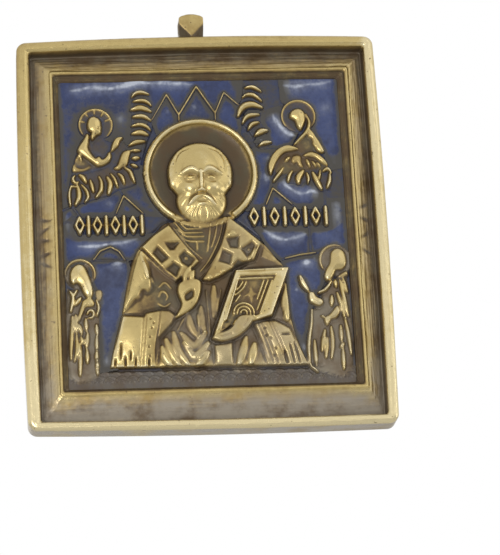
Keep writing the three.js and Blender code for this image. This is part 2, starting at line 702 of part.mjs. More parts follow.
// Half-figures in clouds at the upper corners
const upperFigureShares = [
  {
    haloShares: [-0.374, 0.357],
    headShares: [-0.376, 0.355],
    beardShares: [-0.381, 0.318],
    tilt: 0.05,
    bedShares: [
      [-0.425, 0.316], [-0.371, 0.326], [-0.322, 0.305], [-0.283, 0.313], [-0.251, 0.272],
      [-0.247, 0.22], [-0.237, 0.185], [-0.242, 0.155], [-0.298, 0.138], [-0.332, 0.12],
      [-0.376, 0.11], [-0.416, 0.099], [-0.457, 0.088], [-0.479, 0.091], [-0.482, 0.145],
      [-0.467, 0.208], [-0.452, 0.264],
    ],
    limbShares: [
      [
        [-0.416, 0.316], [-0.43, 0.279], [-0.406, 0.251], [-0.367, 0.229], [-0.337, 0.237],
        [-0.325, 0.261],
      ],
      [[-0.315, 0.27], [-0.303, 0.287], [-0.283, 0.307]],
      [[-0.303, 0.211], [-0.281, 0.237], [-0.266, 0.268]],
      [[-0.455, 0.208], [-0.43, 0.208], [-0.401, 0.216]],
    ],
    petalShares: [
      [[-0.445, 0.19], [-0.455, 0.177], [-0.46, 0.162]],
      [[-0.43, 0.19], [-0.42, 0.177], [-0.416, 0.164]],
      [[-0.447, 0.156], [-0.442, 0.125], [-0.452, 0.097]],
      [[-0.428, 0.16], [-0.411, 0.134], [-0.418, 0.106]],
      [[-0.393, 0.175], [-0.398, 0.155], [-0.391, 0.134]],
      [[-0.364, 0.183], [-0.362, 0.149], [-0.376, 0.116]],
      [[-0.335, 0.183], [-0.327, 0.155], [-0.335, 0.127]],
      [[-0.32, 0.19], [-0.31, 0.168], [-0.3, 0.148]],
      [[-0.296, 0.194], [-0.283, 0.181], [-0.276, 0.163]],
      [[-0.274, 0.207], [-0.254, 0.189], [-0.242, 0.163]],
      [[-0.469, 0.151], [-0.474, 0.121], [-0.469, 0.095]],
    ],
  },
  {
    haloShares: [0.353, 0.378],
    headShares: [0.351, 0.369],
    beardShares: [0.368, 0.334],
    tilt: 0.15,
    bedShares: [
      [0.324, 0.28], [0.358, 0.326], [0.405, 0.33], [0.436, 0.256], [0.456, 0.204], [0.459, 0.132],
      [0.419, 0.124], [0.397, 0.152], [0.368, 0.15], [0.348, 0.137], [0.324, 0.144], [0.299, 0.148],
      [0.27, 0.168], [0.25, 0.153], [0.233, 0.179], [0.241, 0.226], [0.27, 0.265],
    ],
    limbShares: [
      [[0.246, 0.179], [0.248, 0.222], [0.275, 0.254], [0.329, 0.265]],
      [[0.368, 0.243], [0.407, 0.236], [0.441, 0.21]],
      [[0.397, 0.312], [0.417, 0.28], [0.432, 0.247]],
      [[0.388, 0.338], [0.373, 0.308], [0.336, 0.28]],
    ],
    petalShares: [
      [[0.255, 0.161], [0.27, 0.179], [0.282, 0.198]],
      [[0.302, 0.157], [0.307, 0.174], [0.314, 0.189]],
      [[0.336, 0.15], [0.341, 0.167], [0.353, 0.182]],
      [[0.299, 0.226], [0.309, 0.235], [0.319, 0.239]],
      [[0.326, 0.215], [0.336, 0.237], [0.351, 0.209]],
      [[0.375, 0.224], [0.38, 0.213], [0.385, 0.2]],
      [[0.395, 0.221], [0.405, 0.21], [0.412, 0.197]],
      [[0.397, 0.171], [0.405, 0.154], [0.414, 0.137]],
      [[0.37, 0.182], [0.373, 0.167], [0.378, 0.152]],
      [[0.446, 0.191], [0.451, 0.165], [0.446, 0.139]],
    ],
  },
];
function upperFigure(figure) {
  const centre = at(figure.haloShares);
  const rimRadius = upperHaloRadius - smallHaloWidth / 2;
  emboss((grow) => roundLand(centre, [[0, landRise - sink], [rimRadius + grow, landRise]], 18));
  const rim = arc(centre, rimRadius, -Math.PI / 4, 5 * Math.PI / 4, 12);
  emboss((grow) => ridge(rim, smallHaloWidth, gownRise, { grow }));
  embossPad(smooth(trace(figure.bedShares), 1, true), landRise + sink, fineEdge);
  smallHead(figure, upperScaleShare);
  for (const route of figure.limbShares) embossLine(smooth(trace(route)), limbWidth, foldRise, landRise);
  for (const route of figure.petalShares) embossLine(trace(route), petalWidth, bandRise, landRise);
}

// Ladders of small cloud arcs that rise beside the main halo, with pockets of enamel in one of them
const cloudLadderShares = [
  {
    bedShares: [
      [-0.254, 0.207], [-0.259, 0.285], [-0.251, 0.35], [-0.249, 0.406], [-0.244, 0.46],
      [-0.215, 0.471], [-0.176, 0.462], [-0.173, 0.423], [-0.173, 0.38], [-0.171, 0.341],
      [-0.195, 0.285], [-0.212, 0.228], [-0.222, 0.202],
    ],
    arcShares: [
      [[-0.239, 0.452], [-0.21, 0.462], [-0.18, 0.456]],
      [[-0.237, 0.432], [-0.205, 0.432], [-0.176, 0.417]],
      [[-0.247, 0.402], [-0.215, 0.408], [-0.178, 0.395]],
      [[-0.242, 0.378], [-0.212, 0.382], [-0.18, 0.369]],
      [[-0.247, 0.35], [-0.217, 0.354], [-0.18, 0.334]],
      [[-0.247, 0.322], [-0.217, 0.326], [-0.188, 0.317]],
      [[-0.256, 0.283], [-0.232, 0.293], [-0.203, 0.293]],
      [[-0.251, 0.263], [-0.234, 0.263], [-0.217, 0.263]],
      [[-0.249, 0.241], [-0.237, 0.239], [-0.222, 0.241]],
      [[-0.256, 0.224], [-0.244, 0.218], [-0.229, 0.213]],
    ],
    pocketShares: [],
  },
  {
    bedShares: [
      [0.157, 0.476], [0.192, 0.482], [0.228, 0.465], [0.226, 0.413], [0.221, 0.361], [0.243, 0.326],
      [0.25, 0.283], [0.231, 0.259], [0.197, 0.268], [0.182, 0.305], [0.152, 0.348], [0.135, 0.37],
      [0.138, 0.413], [0.152, 0.443],
    ],
    arcShares: [
      [[0.167, 0.474], [0.194, 0.476], [0.223, 0.461]],
      [[0.157, 0.439], [0.189, 0.443], [0.221, 0.428]],
      [[0.138, 0.378], [0.15, 0.402], [0.182, 0.413], [0.221, 0.404]],
      [[0.15, 0.355], [0.172, 0.376], [0.211, 0.38]],
      [[0.17, 0.331], [0.184, 0.346], [0.209, 0.352]],
      [[0.197, 0.311], [0.216, 0.322], [0.238, 0.322]],
      [[0.206, 0.274], [0.226, 0.283], [0.25, 0.285]],
    ],
    pocketShares: [
      { name: 'enamel_upper_cloud', outlineShares: [[0.155, 0.378], [0.175, 0.394], [0.214, 0.396],
      [0.211, 0.389], [0.177, 0.385], [0.16, 0.368]] },
      { name: 'enamel_lower_cloud', outlineShares: [[0.192, 0.294], [0.209, 0.309], [0.243, 0.313],
      [0.241, 0.296], [0.214, 0.289]] },
    ],
  },
];
function cloudLadder({ bedShares, arcShares, pocketShares }) {
  const outline = smooth(trace(bedShares), 1, true);
  const holes = pocketShares.map(({ outlineShares }) => prism(trace(outlineShares), groundTop, overrun));
  detail(holes.reduce((bed, hole) => bed.subtract(hole), pad(outline, landRise + sink, fineEdge)));
  enamelBounds.push(pad(outline, landRise + sink, fineEdge, enamelGap));
  const arcs = arcShares.map((route) => smooth(trace(route)));
  const arcBounds = together(arcs.map((route) => embossLine(route, cloudArcWidth, foldRise)));
  return pocketShares.map(({ name, outlineShares }) => {
    const outline = trace(outlineShares);
    const shrunk = pad(outline, overrun, fineEdge, -enamelGap);
    const fill = prism(outline, groundTop, enamelDepth).intersect(shrunk).subtract(arcBounds);
    return meshOf(name, fill, blueEnamel);
  });
}

// Thin raised lines that part the enamel
const cellLineShares = [
  [
    [-0.173, 0.369], [-0.117, 0.453], [-0.076, 0.384], [-0.009, 0.479], [0.055, 0.388], [0.089, 0.457],
    [0.14, 0.413],
  ],
  [[-0.076, 0.384], [-0.076, 0.358]],
  [[0.055, 0.388], [0.055, 0.362]],
  [[-0.315, 0.051], [-0.286, 0.118], [-0.215, 0.055]],
  [[0.216, 0.066], [0.246, 0.133], [0.324, 0.07]],
  [
    [-0.435, -0.109], [-0.411, -0.096], [-0.376, -0.062], [-0.34, -0.049], [-0.31, -0.064],
    [-0.283, -0.105],
  ],
  [[-0.401, -0.09], [-0.274, -0.09]],
  [[0.26, -0.103], [0.329, -0.088], [0.412, -0.082]],
  [[0.368, 0.009], [0.368, -0.091]],
  [[-0.506, 0.073], [-0.469, 0.088], [-0.44, 0.051]],
  [[0.226, 0.265], [0.28, 0.267]],
  [[0.246, 0.133], [0.253, 0.163]],
  [[-0.286, 0.118], [-0.303, 0.144]],
];
function cellLines() {
  for (const route of cellLineShares) {
    emboss((grow) => ridge(trace(route), cellLineWidth, lineRise, { grow }));
  }
}

// Two rows of plain bars and lozenges on low lands, left and right of the halo
const ornamentRowShares = [
  {
    bedShares: [[-0.469, -0.016], [-0.469, 0.056], [-0.156, 0.055], [-0.156, 0.003], [-0.2, -0.017]],
    startShares: [-0.445, 0.021],
    count: 8,
  },
  {
    bedShares: [[0.138, 0.049], [0.138, 0.073], [0.449, 0.072], [0.449, 0], [0.192, 0.001]],
    startShares: [0.201, 0.038],
    count: 8,
  },
];
function ornamentRow({ bedShares, startShares, count }) {
  embossPad(trace(bedShares), landRise + sink, fineEdge);
  const first = at(startShares);
  for (let i = 0; i < count; i++) {
    const middle = new THREE.Vector2(first.x + i * ornamentPitch, first.y);
    if (i % 2) {
      const bar = arc(middle, ornamentHeight / 2, -Math.PI / 2, Math.PI / 2, 1);
      detail(ridge(bar, ornamentBarWidth, ornamentRise, { from: landRise }));
    } else {
      detail(pad(arc(middle, ornamentPitch / 2, 0, 3 * Math.PI / 2, 3), ornamentRise, fineEdge));
    }
  }
}

// Bare lands at the level of the enamel: by the right ladder, at the right edge and along the foot
const bareLandShares = [
  [
    [0.157, 0.508], [0.157, 0.476], [0.221, 0.463], [0.223, 0.387], [0.29, 0.421], [0.304, 0.46],
    [0.29, 0.508],
  ],
  [
    [0.454, 0.208], [0.5, 0.212], [0.5, 0.095], [0.446, 0.091], [0.419, 0.065], [0.407, 0.091],
    [0.417, 0.13],
  ],
  [[-0.509, -0.44], [0.5, -0.447], [0.5, -0.507], [-0.509, -0.503]],
];
function bareLands() {
  for (const shares of bareLandShares) embossPad(trace(shares), landRise, fineEdge);
}

// Enamel cells, each drawn a little over the raised forms that bound it
const cellShares = [
  { name: 'enamel_sky', outlineShares: [[-0.509, 0.073], [-0.509, 0.511], [0.162, 0.508],
  [0.152, 0.435], [0.133, 0.411], [0.089, 0.457], [0.055, 0.383], [-0.009, 0.479], [-0.076, 0.384],
  [-0.117, 0.453], [-0.173, 0.371], [-0.2, 0.35], [-0.225, 0.241], [-0.254, 0.241], [-0.274, 0.285],
  [-0.371, 0.307], [-0.46, 0.221], [-0.469, 0.134], [-0.469, 0.088]] },
  { name: 'enamel_left_peak', outlineShares: [[-0.176, 0.369], [-0.117, 0.453], [-0.076, 0.379],
  [-0.076, 0.306], [-0.151, 0.306]] },
  { name: 'enamel_middle_peak', outlineShares: [[-0.076, 0.382], [-0.009, 0.479], [0.055, 0.388],
  [0.055, 0.305], [-0.076, 0.306]] },
  { name: 'enamel_right_peak', outlineShares: [[0.055, 0.383], [0.089, 0.457], [0.14, 0.413],
  [0.148, 0.37], [0.143, 0.305], [0.055, 0.305]] },
  { name: 'enamel_left_corner', outlineShares: [[-0.44, 0.051], [-0.469, 0.088], [-0.46, 0.104],
  [-0.347, 0.142], [-0.303, 0.144], [-0.286, 0.118], [-0.315, 0.051]] },
  { name: 'enamel_left_caret', outlineShares: [[-0.315, 0.051], [-0.286, 0.118], [-0.212, 0.053]] },
  { name: 'enamel_left_shoulder', outlineShares: [[-0.286, 0.118], [-0.303, 0.144], [-0.249, 0.189],
  [-0.239, 0.22], [-0.176, 0.219], [-0.102, 0.05], [-0.212, 0.053]] },
  { name: 'enamel_left_band', outlineShares: [[-0.509, 0.073], [-0.509, -0.113], [-0.445, -0.105],
  [-0.396, -0.085], [-0.376, -0.062], [-0.34, -0.049], [-0.31, -0.064], [-0.292, -0.09],
  [-0.225, -0.086], [-0.151, 0.003], [-0.21, -0.006], [-0.445, -0.005], [-0.442, 0.054],
  [-0.469, 0.088]] },
  { name: 'enamel_left_arch', outlineShares: [[-0.401, -0.09], [-0.376, -0.062], [-0.34, -0.049],
  [-0.31, -0.064], [-0.293, -0.09]] },
  { name: 'enamel_left_taper', outlineShares: [[-0.416, -0.09], [-0.278, -0.09], [-0.249, -0.192],
  [-0.322, -0.439], [-0.396, -0.449], [-0.406, -0.191], [-0.42, -0.148]] },
  { name: 'enamel_right_hollow', outlineShares: [[0.216, 0.396], [0.29, 0.413], [0.339, 0.369],
  [0.353, 0.326], [0.324, 0.278], [0.28, 0.267], [0.226, 0.265], [0.241, 0.326], [0.216, 0.356]] },
  { name: 'enamel_right_sky', outlineShares: [[0.29, 0.508], [0.294, 0.426], [0.388, 0.369],
  [0.397, 0.334], [0.446, 0.217], [0.446, 0.191], [0.5, 0.199], [0.5, 0.507]] },
  { name: 'enamel_right_shoulder', outlineShares: [[0.167, 0.27], [0.118, 0.062], [0.219, 0.066],
  [0.246, 0.133], [0.253, 0.163], [0.238, 0.196], [0.28, 0.267], [0.226, 0.265], [0.197, 0.274]] },
  { name: 'enamel_right_caret', outlineShares: [[0.219, 0.066], [0.246, 0.133], [0.324, 0.066]] },
  { name: 'enamel_right_bowl', outlineShares: [[0.246, 0.133], [0.253, 0.163], [0.265, 0.174],
  [0.339, 0.174], [0.417, 0.152], [0.427, 0.108], [0.422, 0.065], [0.324, 0.066]] },
  { name: 'enamel_right_inner_band', outlineShares: [[0.192, -0.021], [0.167, 0.01], [0.368, 0.009],
  [0.368, -0.091], [0.329, -0.091], [0.26, -0.105], [0.216, -0.064]] },
  { name: 'enamel_right_outer_band', outlineShares: [[0.368, 0.009], [0.436, 0.009], [0.436, 0.1],
  [0.5, 0.099], [0.5, -0.087], [0.436, -0.074], [0.368, -0.084]] },
  { name: 'enamel_right_taper', outlineShares: [[0.26, -0.103], [0.329, -0.091], [0.412, -0.082],
  [0.412, -0.173], [0.373, -0.238], [0.351, -0.281], [0.339, -0.448], [0.304, -0.433], [0.265, -0.259],
  [0.26, -0.129]] },
];

// Plate, border, seat of the loop and relief, all one casting
function castPlaque() {
  const seatHeight = seatRise + overrun;
  const seat = new THREE.BoxGeometry(loopWidth + 2 * seatBorder, seatHeight, loopDepth + 2 * seatBorder);
  seat.translate(loopOffset, loopSeat - seatHeight / 2, middleLevel);
  return together([borderedPlate(), solidOf(seat), ...relief]);
}

// Loop: a cast lug whose front narrows to a keel at its foot, pierced from side to side. Each
// section gives shares of the lug's height, width and depth, how far out its side corners lie to
// the front and back, and how wide its front face is.
const loopSectionShares = [
  { up: 0, wide: 1, deep: 1, shoulder: 0.5, front: 0.05 },
  { up: 0.56, wide: 0.97, deep: 1, shoulder: 0.9, front: 0.9 },
  { up: 0.76, wide: 0.96, deep: 0.98, shoulder: 0.96, front: 0.94 },
  { up: 0.9, wide: 0.86, deep: 0.9, shoulder: 0.96, front: 0.94 },
  { up: 0.97, wide: 0.62, deep: 0.8, shoulder: 0.96, front: 0.94 },
  { up: 1, wide: 0.34, deep: 0.62, shoulder: 0.96, front: 0.94 },
];
function hangingLoop() {
  const rings = loopSectionShares.map(({ up, wide, deep, shoulder, front }) => {
    const corners = [
      [-1, -shoulder], [1, -shoulder], [1, shoulder], [front, 1], [-front, 1], [-1, shoulder],
    ];
    return corners.map(([across, out]) => new THREE.Vector3(
      loopOffset + across * wide * loopWidth / 2,
      loopSeat + up * loopHeight,
      middleLevel + out * deep * loopDepth / 2,
    ));
  });
  const eye = new THREE.CylinderGeometry(eyeRadius, eyeRadius, loopWidth + 2 * overrun, 16);
  eye.rotateZ(Math.PI / 2);
  eye.translate(loopOffset, eyeUp, middleLevel);
  return loft(rings).subtract(solidOf(eye));
}

// A solid's triangles as a named mesh
function meshOf(name, solid, material) {
  const { vertProperties, triVerts } = solid.getMesh();
  const geometry = new THREE.BufferGeometry();
  geometry.setAttribute('position', new THREE.Float32BufferAttribute(vertProperties, 3));
  geometry.setIndex(largestBody(vertProperties, triVerts));
  geometry.computeVertexNormals();
  const mesh = new THREE.Mesh(geometry, material);
  mesh.name = name;
  return mesh;
}

mainHalo();
mainHead();
vestments();
crossBandShares.forEach(crossBand);
book();
hands();
sideFigureShares.forEach(sideFigure);
upperFigureShares.forEach(upperFigure);
const pocketFills = cloudLadderShares.flatMap(cloudLadder);
cellLines();
ornamentRowShares.forEach(ornamentRow);
bareLands();

const icon = new THREE.Group();
icon.add(meshOf('cast_plaque', castPlaque(), polishedBrass));
icon.add(meshOf('hanging_loop', hangingLoop(), dullBrass));
const metal = together(enamelBounds);
const field = pictureBlock(enamelGap);
for (const { name, outlineShares } of cellShares) {
  const fill = prism(trace(outlineShares), groundTop, enamelDepth).intersect(field).subtract(metal);
  icon.add(meshOf(name, fill, blueEnamel));
}
icon.add(...pocketFills);
icon.rotation.x = Math.PI / 2;
icon.position.set(-loopOffset, middleLevel, -eyeUp);
icon.updateMatrixWorld(true);

export default icon;
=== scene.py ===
"""An upright cast-brass icon with glassy blue enamel in its hollows and a loop on its top edge.

The picture is sculpted as one map of heights, in millimetres, on a square grid: x to the right and
y up the icon from the middle of the plate, h out of the front from the ground of the picture. Masses
are laid over one another, lines are raised or cut, and each named piece is then taken from the map
as a closed body of its own.
"""

import collections
import functools
import math

import bpy
import numpy as np
from mathutils import Matrix


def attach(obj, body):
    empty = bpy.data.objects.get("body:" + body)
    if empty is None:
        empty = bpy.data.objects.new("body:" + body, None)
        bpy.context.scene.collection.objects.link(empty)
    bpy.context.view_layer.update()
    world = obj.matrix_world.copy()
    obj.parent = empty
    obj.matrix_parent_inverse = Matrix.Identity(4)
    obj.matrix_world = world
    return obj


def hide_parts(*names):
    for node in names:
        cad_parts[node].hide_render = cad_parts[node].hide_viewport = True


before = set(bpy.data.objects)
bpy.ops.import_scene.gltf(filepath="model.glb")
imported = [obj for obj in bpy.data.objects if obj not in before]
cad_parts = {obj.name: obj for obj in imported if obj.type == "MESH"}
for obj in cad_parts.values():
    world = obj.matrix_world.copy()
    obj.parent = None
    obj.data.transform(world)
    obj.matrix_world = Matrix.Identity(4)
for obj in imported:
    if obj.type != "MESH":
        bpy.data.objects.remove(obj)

bl_info = {
    "name": "Enamelled cast icon",
    "version": (1, 0, 0),
    "blender": (4, 5, 0),
    "location": "View3D > Sidebar > Icon",
    "description": "Builds a cast-brass icon with enamelled hollows, piece by piece",
    "category": "Object",
}

MM = 0.001

# Where the plate's frame lies in the row frame: x + AXIS_X, HALF_THICKNESS - h and y - AXIS_Z, in mm
AXIS_X = 0.55
AXIS_Z = 31.6
HALF_THICKNESS = 2.1
GROUND = 1.6

# The picture's drawing frame is set a little off the plate's middle, and its level lines slant
DRAWN_WIDTH, DRAWN_HEIGHT, DRAWN_SLANT, DRAWN_X, DRAWN_Y = 0.994, 0.9984, -0.0048, 0.089, 0.359
# How far a form moves to the right and up for each millimetre that its top lies under LEVEL
DRIFT_X, DRIFT_Y, LEVEL = 0.09, 0.33, 1.0
# The drawn field: left, right, foot and top
FIELD = (-20.35, 20.7, -23.25, 23.1)

# Where the rim, channel, bead and ledge end on each side, in millimetres from the plate's edge
BORDER_ENDS = {"left": (1.5, 4.35, 4.95, 5.7), "right": (1.7, 4.0, 4.65, 5.7),
               "foot": (1.0, 4.95, 5.8, 6.07),
               "top": (1.75, 4.4, 5.05, 6.07)}

# Masses of the main figure: outlines in millimetres
ROBE = [(-5.0, 1.5), (-7, 0.1), (-8.7, -1.3), (-9.9, -2.7), (-10.7, -4.4), (-11.3, -6.5), (-11.9, -9),
        (-12.5, -12), (-13.2, -14.6), (-14, -17.6), (-14.5, -20.0), (-14.5, -20.2), (-14.2, -20.3),
        (13.8, -20.4), (14.1, -20.3), (14.1, -20.1), (13.1, -17.6),
        (12.1, -14.2), (11.6, -10), (11.5, -6), (10.3, -4.3), (8.4, -1.8), (5.6, 0.6), (3.5, 2.1),
        (0.5, 1.2)]
LEAF_SLEEVE = [(-9.6, -2.7), (-10.5, -4.8), (-11.2, -7.4), (-11.8, -9.8), (-12.3, -12.1), (-11.3, -11.2),
               (-10.3, -10.3), (-9.8, -10.1), (-9.2, -9.0), (-8.5, -9.3), (-7.8, -8.2), (-8.0, -6.2),
               (-8.7, -4.3)]

# Cross bands and the squares sunk in them
LEFT_BAND = [(-5.1, 1.1), (-7.4, -0.5), (-9.4, -2.4), (-6.3, -6.0), (-4.4, -7.7), (-2.6, -6.4),
             (-0.8, -4.7), (-3.0, -1.8)]
RIGHT_BAND = [(3.5, 2.1), (5.6, 0.5), (8.3, -2.0), (7.0, -4.7), (4.6, -5.4), (2.4, -6.9), (0.3, -7.9),
              (-0.9, -7.5), (1.0, -4.6), (2.2, -2.0)]
LEFT_SQUARES = [
    [(-7.7, -3.4), (-6.9, -2.4), (-5.4, -4.1), (-6.5, -4.9)],
    [(-5.9, -1.8), (-3.7, -1.8), (-4.5, -3.0), (-5.2, -3.0)],
    [(-3.9, -3.9), (-3.1, -3.2), (-1.6, -4.3), (-2.5, -5.6), (-3.6, -4.9)],
    [(-4.7, -4.8), (-3.7, -5.5), (-4.4, -7.0), (-5.9, -5.8)],
]
RIGHT_SQUARES = [
    [(3.2, -1.5), (4.8, -1.2), (4.7, -2.8), (3.6, -2.7)],
    [(5.2, -2.9), (6.6, -2.0), (7.3, -2.7), (6.0, -4.1)],
    [(2.5, -3.2), (3.7, -3.8), (3.4, -5.2), (1.9, -4.7)],
    [(3.7, -5.5), (4.6, -4.6), (5.9, -5.1), (4.8, -6.0)],
]

# Cuffs, lap, shoulder and the leaf of the right sleeve
LEFT_CUFF = [(-12.5, -12.4), (-9.4, -12.6), (-9.0, -12.1), (-6.9, -11.7), (-5.6, -11.8), (-4.4, -12.7),
             (-5.3, -14.1), (-7.2, -16.1), (-7.4, -18), (-7.8, -20.2), (-14.4, -20.2), (-13.5, -16)]
RIGHT_CUFF = [(5.9, -13.5), (9.6, -13.6), (11.7, -14.8), (12.8, -17.6), (13.9, -20.3), (8.1, -20.3),
              (7.0, -16.6)]
LAP = [(0.4, -17.1), (3.3, -16.6), (3.2, -20.2), (0.5, -20.2)]
SHOULDER = [(8.3, -2.5), (10.2, -4.3), (10.7, -5.3), (9.2, -5.0), (7.7, -4.3)]
SIDE_LEAF = [(11.3, -8.0), (11.7, -10.5), (11.8, -13.6), (11.1, -14.2), (10.2, -13.4), (10.9, -11.6)]

# Studs of the bands as (x, y, radius), and the lines beside the bands
BAND_STUDS = [(-2.9, -4.2, 0.45), (6.25, -3.1, 0.4), (4.0, -0.7, 0.6), (3.4, -0.9, 0.4),
              (0.3, -7.2, 0.5), (1.5, -7.0, 0.5), (-0.4, -7.5, 0.35), (2.3, -6.3, 0.3)]
BAND_EDGES = [[(-9.3, -2.7), (-6.2, -6.2), (-4.5, -7.6)], [(-4.7, 0.8), (-2.8, -1.9), (-0.8, -4.6)]]

# Folds of the vestments, then thin folds and the lines of the collar
FOLDS = [
    [(-4.1, -15.4), (-2.4, -17.2), (-0.6, -15.4)],
    [(-3.8, -16.9), (-2.3, -18.8), (-0.3, -16.9)],
    [(-5.2, -15.3), (-4.7, -17.8), (-3.3, -20)],
    [(-6.3, -16.3), (-5.6, -18.3), (-4.6, -20)],
    [(-7.0, -17.4), (-6.6, -18.8), (-5.8, -20.1)],
    [(-0.4, -18.3), (-1.2, -19.3), (-2.0, -20.1)],
    [(5.1, -16.2), (4.6, -18.2), (3.9, -20.1)],
    [(6.3, -17.2), (5.9, -18.8), (5.6, -20.1)],
    [(-2.9, -12.7), (-2.7, -14.4), (-1.9, -15.9)],
    [(-1.1, -11.6), (-1.1, -13.6), (-0.8, -15.2)],
    [(0.9, -8.6), (0.8, -10.8), (0.6, -13.0)],
    [(-9.2, -3.3), (-8.7, -5.0), (-8.5, -7.0)],
    [(11.2, -8.4), (11.0, -10.8), (11.2, -13.6)],
]
THIN_FOLDS = [
    [(-0.2, -9.0), (-0.1, -12), (0.0, -15.8)],
    [(-1.7, -12.7), (-1.6, -14.6), (-1.5, -16)],
    [(1.9, -8.9), (1.4, -11.2), (1.1, -13.2)],
    [(-7.0, -9.8), (-6.7, -9.2), (-6.2, -9.2), (-5.8, -9.8), (-6.0, -10.4)],
    [(-7.2, -10.9), (-6.3, -11.4), (-5.4, -10.8)],
    [(-6.9, -8.4), (-6.1, -7.8), (-5.2, -8.7)],
    [(-3.2, -12.6), (-4.2, -14.2), (-4.6, -15.0)],
    [(-7.9, -7.0), (-7.6, -8.0)],
    [(-9.8, -2.5), (-6.4, -6.1), (-4.6, -7.6)],
]
COLLAR = [
    [(-4.4, 1.4), (-3.2, -0.2), (-2.4, -0.35), (-0.3, -0.35)],
    [(-3.8, 1.5), (-2.7, 0.3), (-1.9, 0.2), (-0.3, 0.2)],
    [(-4.0, 0.2), (-2.9, -0.8), (-2.2, -0.95), (-0.2, -0.95)],
    [(-3.4, -0.7), (-2.7, -1.5), (-1.6, -1.7), (-0.2, -1.7)],
    [(-1.2, -1.9), (-1.2, -3.0)],
    [(0.9, 1.0), (0.6, -1.2), (0.25, -3.2)],
    [(1.9, 1.0), (1.5, -0.8), (0.9, -2.6)],
    [(2.7, 1.3), (2.1, -1.2), (0.6, -4.3), (-0.9, -6.2)],
    [(3.3, 1.2), (2.7, -1.6), (1.2, -4.4), (-0.8, -6.9)],
    [(-4.5, 0.5), (-2.6, -2.2), (-0.6, -4.3)],
]

# Lines, notches and dots cut in the cuffs
CUFF_LINES = [
    [(-9.3, -12.8), (-9.7, -16), (-10.1, -20)],
    [(-8.9, -12.6), (-9.3, -16), (-9.7, -20)],
    [(-6.9, -12.0), (-7.3, -14.4), (-7.8, -17.5), (-7.9, -20)],
    [(6.9, -13.8), (7.9, -16.6), (8.9, -20)],
    [(7.3, -13.8), (8.5, -17), (9.6, -20)],
    [(8.5, -13.8), (9.5, -16.6), (10.8, -20)],
    [(8.9, -13.9), (10.0, -16.8), (11.1, -20)],
]
CUFF_NOTCHES = [
    [(-12.7, -16.7), (-12.9, -19.0)], [(-11.4, -17.9), (-11.5, -19.2)], [(-13.6, -18.9), (-13.7, -20.2)],
    [(-12.2, -18.6), (-12.2, -20.2)], [(-10.7, -18.8), (-10.8, -20.2)], [(11.3, -17.2), (11.9, -20)],
    [(12.0, -16.9), (12.7, -20)], [(10.2, -15.9), (11.4, -15.8)], [(10.5, -18.2), (10.9, -20)],
    [(-8.8, -18.9), (-8.9, -20.2)],
]
CUFF_DOTS = [(-8.4, -13.2), (-8.3, -14.6), (-8.6, -15.9), (-8.8, -17.3), (-8.0, -13.9), (-8.7, -18.6),
             (7.9, -14.9), (8.6, -16.4), (9.3, -17.9), (8.0, -16.0), (9.0, -18.9)]

# Book: outline, sunk panel and corner, star, raised lines and the radii of its arches
BOOK = [(4.1, -6.0), (12.1, -5.7), (9.1, -13.1), (6.1, -14.0), (3.1, -14.5), (0.1, -16.4)]
BOOK_PANEL = [(4.7, -7.0), (10.0, -6.9), (7.3, -12.9), (2.2, -14.0)]
BOOK_CORNER = [(2.0, -13.7), (3.7, -13.6), (3.3, -14.4), (2.3, -14.9), (1.5, -15.1)]
BOOK_STAR = [(6.1, -8.0), (6.7, -9.4), (7.6, -9.8), (6.6, -10.3), (6.3, -12.3), (5.7, -10.3), (4.4, -10.4),
             (5.7, -9.4)]
BOOK_LINES = [
    [(4.5, -7.5), (9.4, -7.4)], [(4.3, -7.9), (2.4, -13.6)], [(9.3, -7.8), (7.3, -12.6)],
    [(8.7, -7.8), (6.9, -12.2)], [(8.1, -7.8), (7.0, -10.6)], [(5.6, -7.9), (5.0, -9.0), (3.8, -10.0)],
    [(5.1, -7.9), (4.6, -8.7), (4.0, -9.3)], [(4.6, -9.9), (3.9, -10.9)],
]
BOOK_ARCHES = [0.45, 0.95, 1.45]
BOOK_ARCH_PLACE = (5.0, -12.6)

# Hands: outlines, the palm's hollow and the lines of the fingers
PALM = [(-4.5, -8.9), (-4.2, -7.8), (-3.2, -7.2), (-1.6, -7.0), (-0.7, -7.7), (-0.9, -9.5), (-1.6, -11.1),
        (-3.1, -12.4), (-4.9, -13.1), (-4.6, -12.2), (-4.0, -11), (-4.3, -9.9)]
PALM_HOLLOW = [(-3.5, -9.7), (-3.1, -9.2), (-2.5, -8.8), (-1.9, -8.9), (-1.9, -9.9), (-2.6, -10.5),
               (-3.3, -10.6)]
FINGERS = [
    [(-3.3, -7.7), (-3.0, -6.6), (-2.2, -5.3)],
    [(-2.3, -7.6), (-2.2, -6.7), (-1.8, -6.0)],
]
HOLDING_HAND = [(0.2, -16.1), (1.7, -16.7), (3.6, -16.2), (4.9, -15.4), (6.0, -14.2), (6.6, -12.9),
                (5.4, -12.7), (4.3, -12.9), (3.7, -13.6), (3.2, -14.4), (2.3, -15.0), (1.1, -15.4)]
HOLDING_FINGERS = [[(1.5, -16.0), (3.2, -15.6)], [(4.9, -14.6), (5.6, -13.4)]]

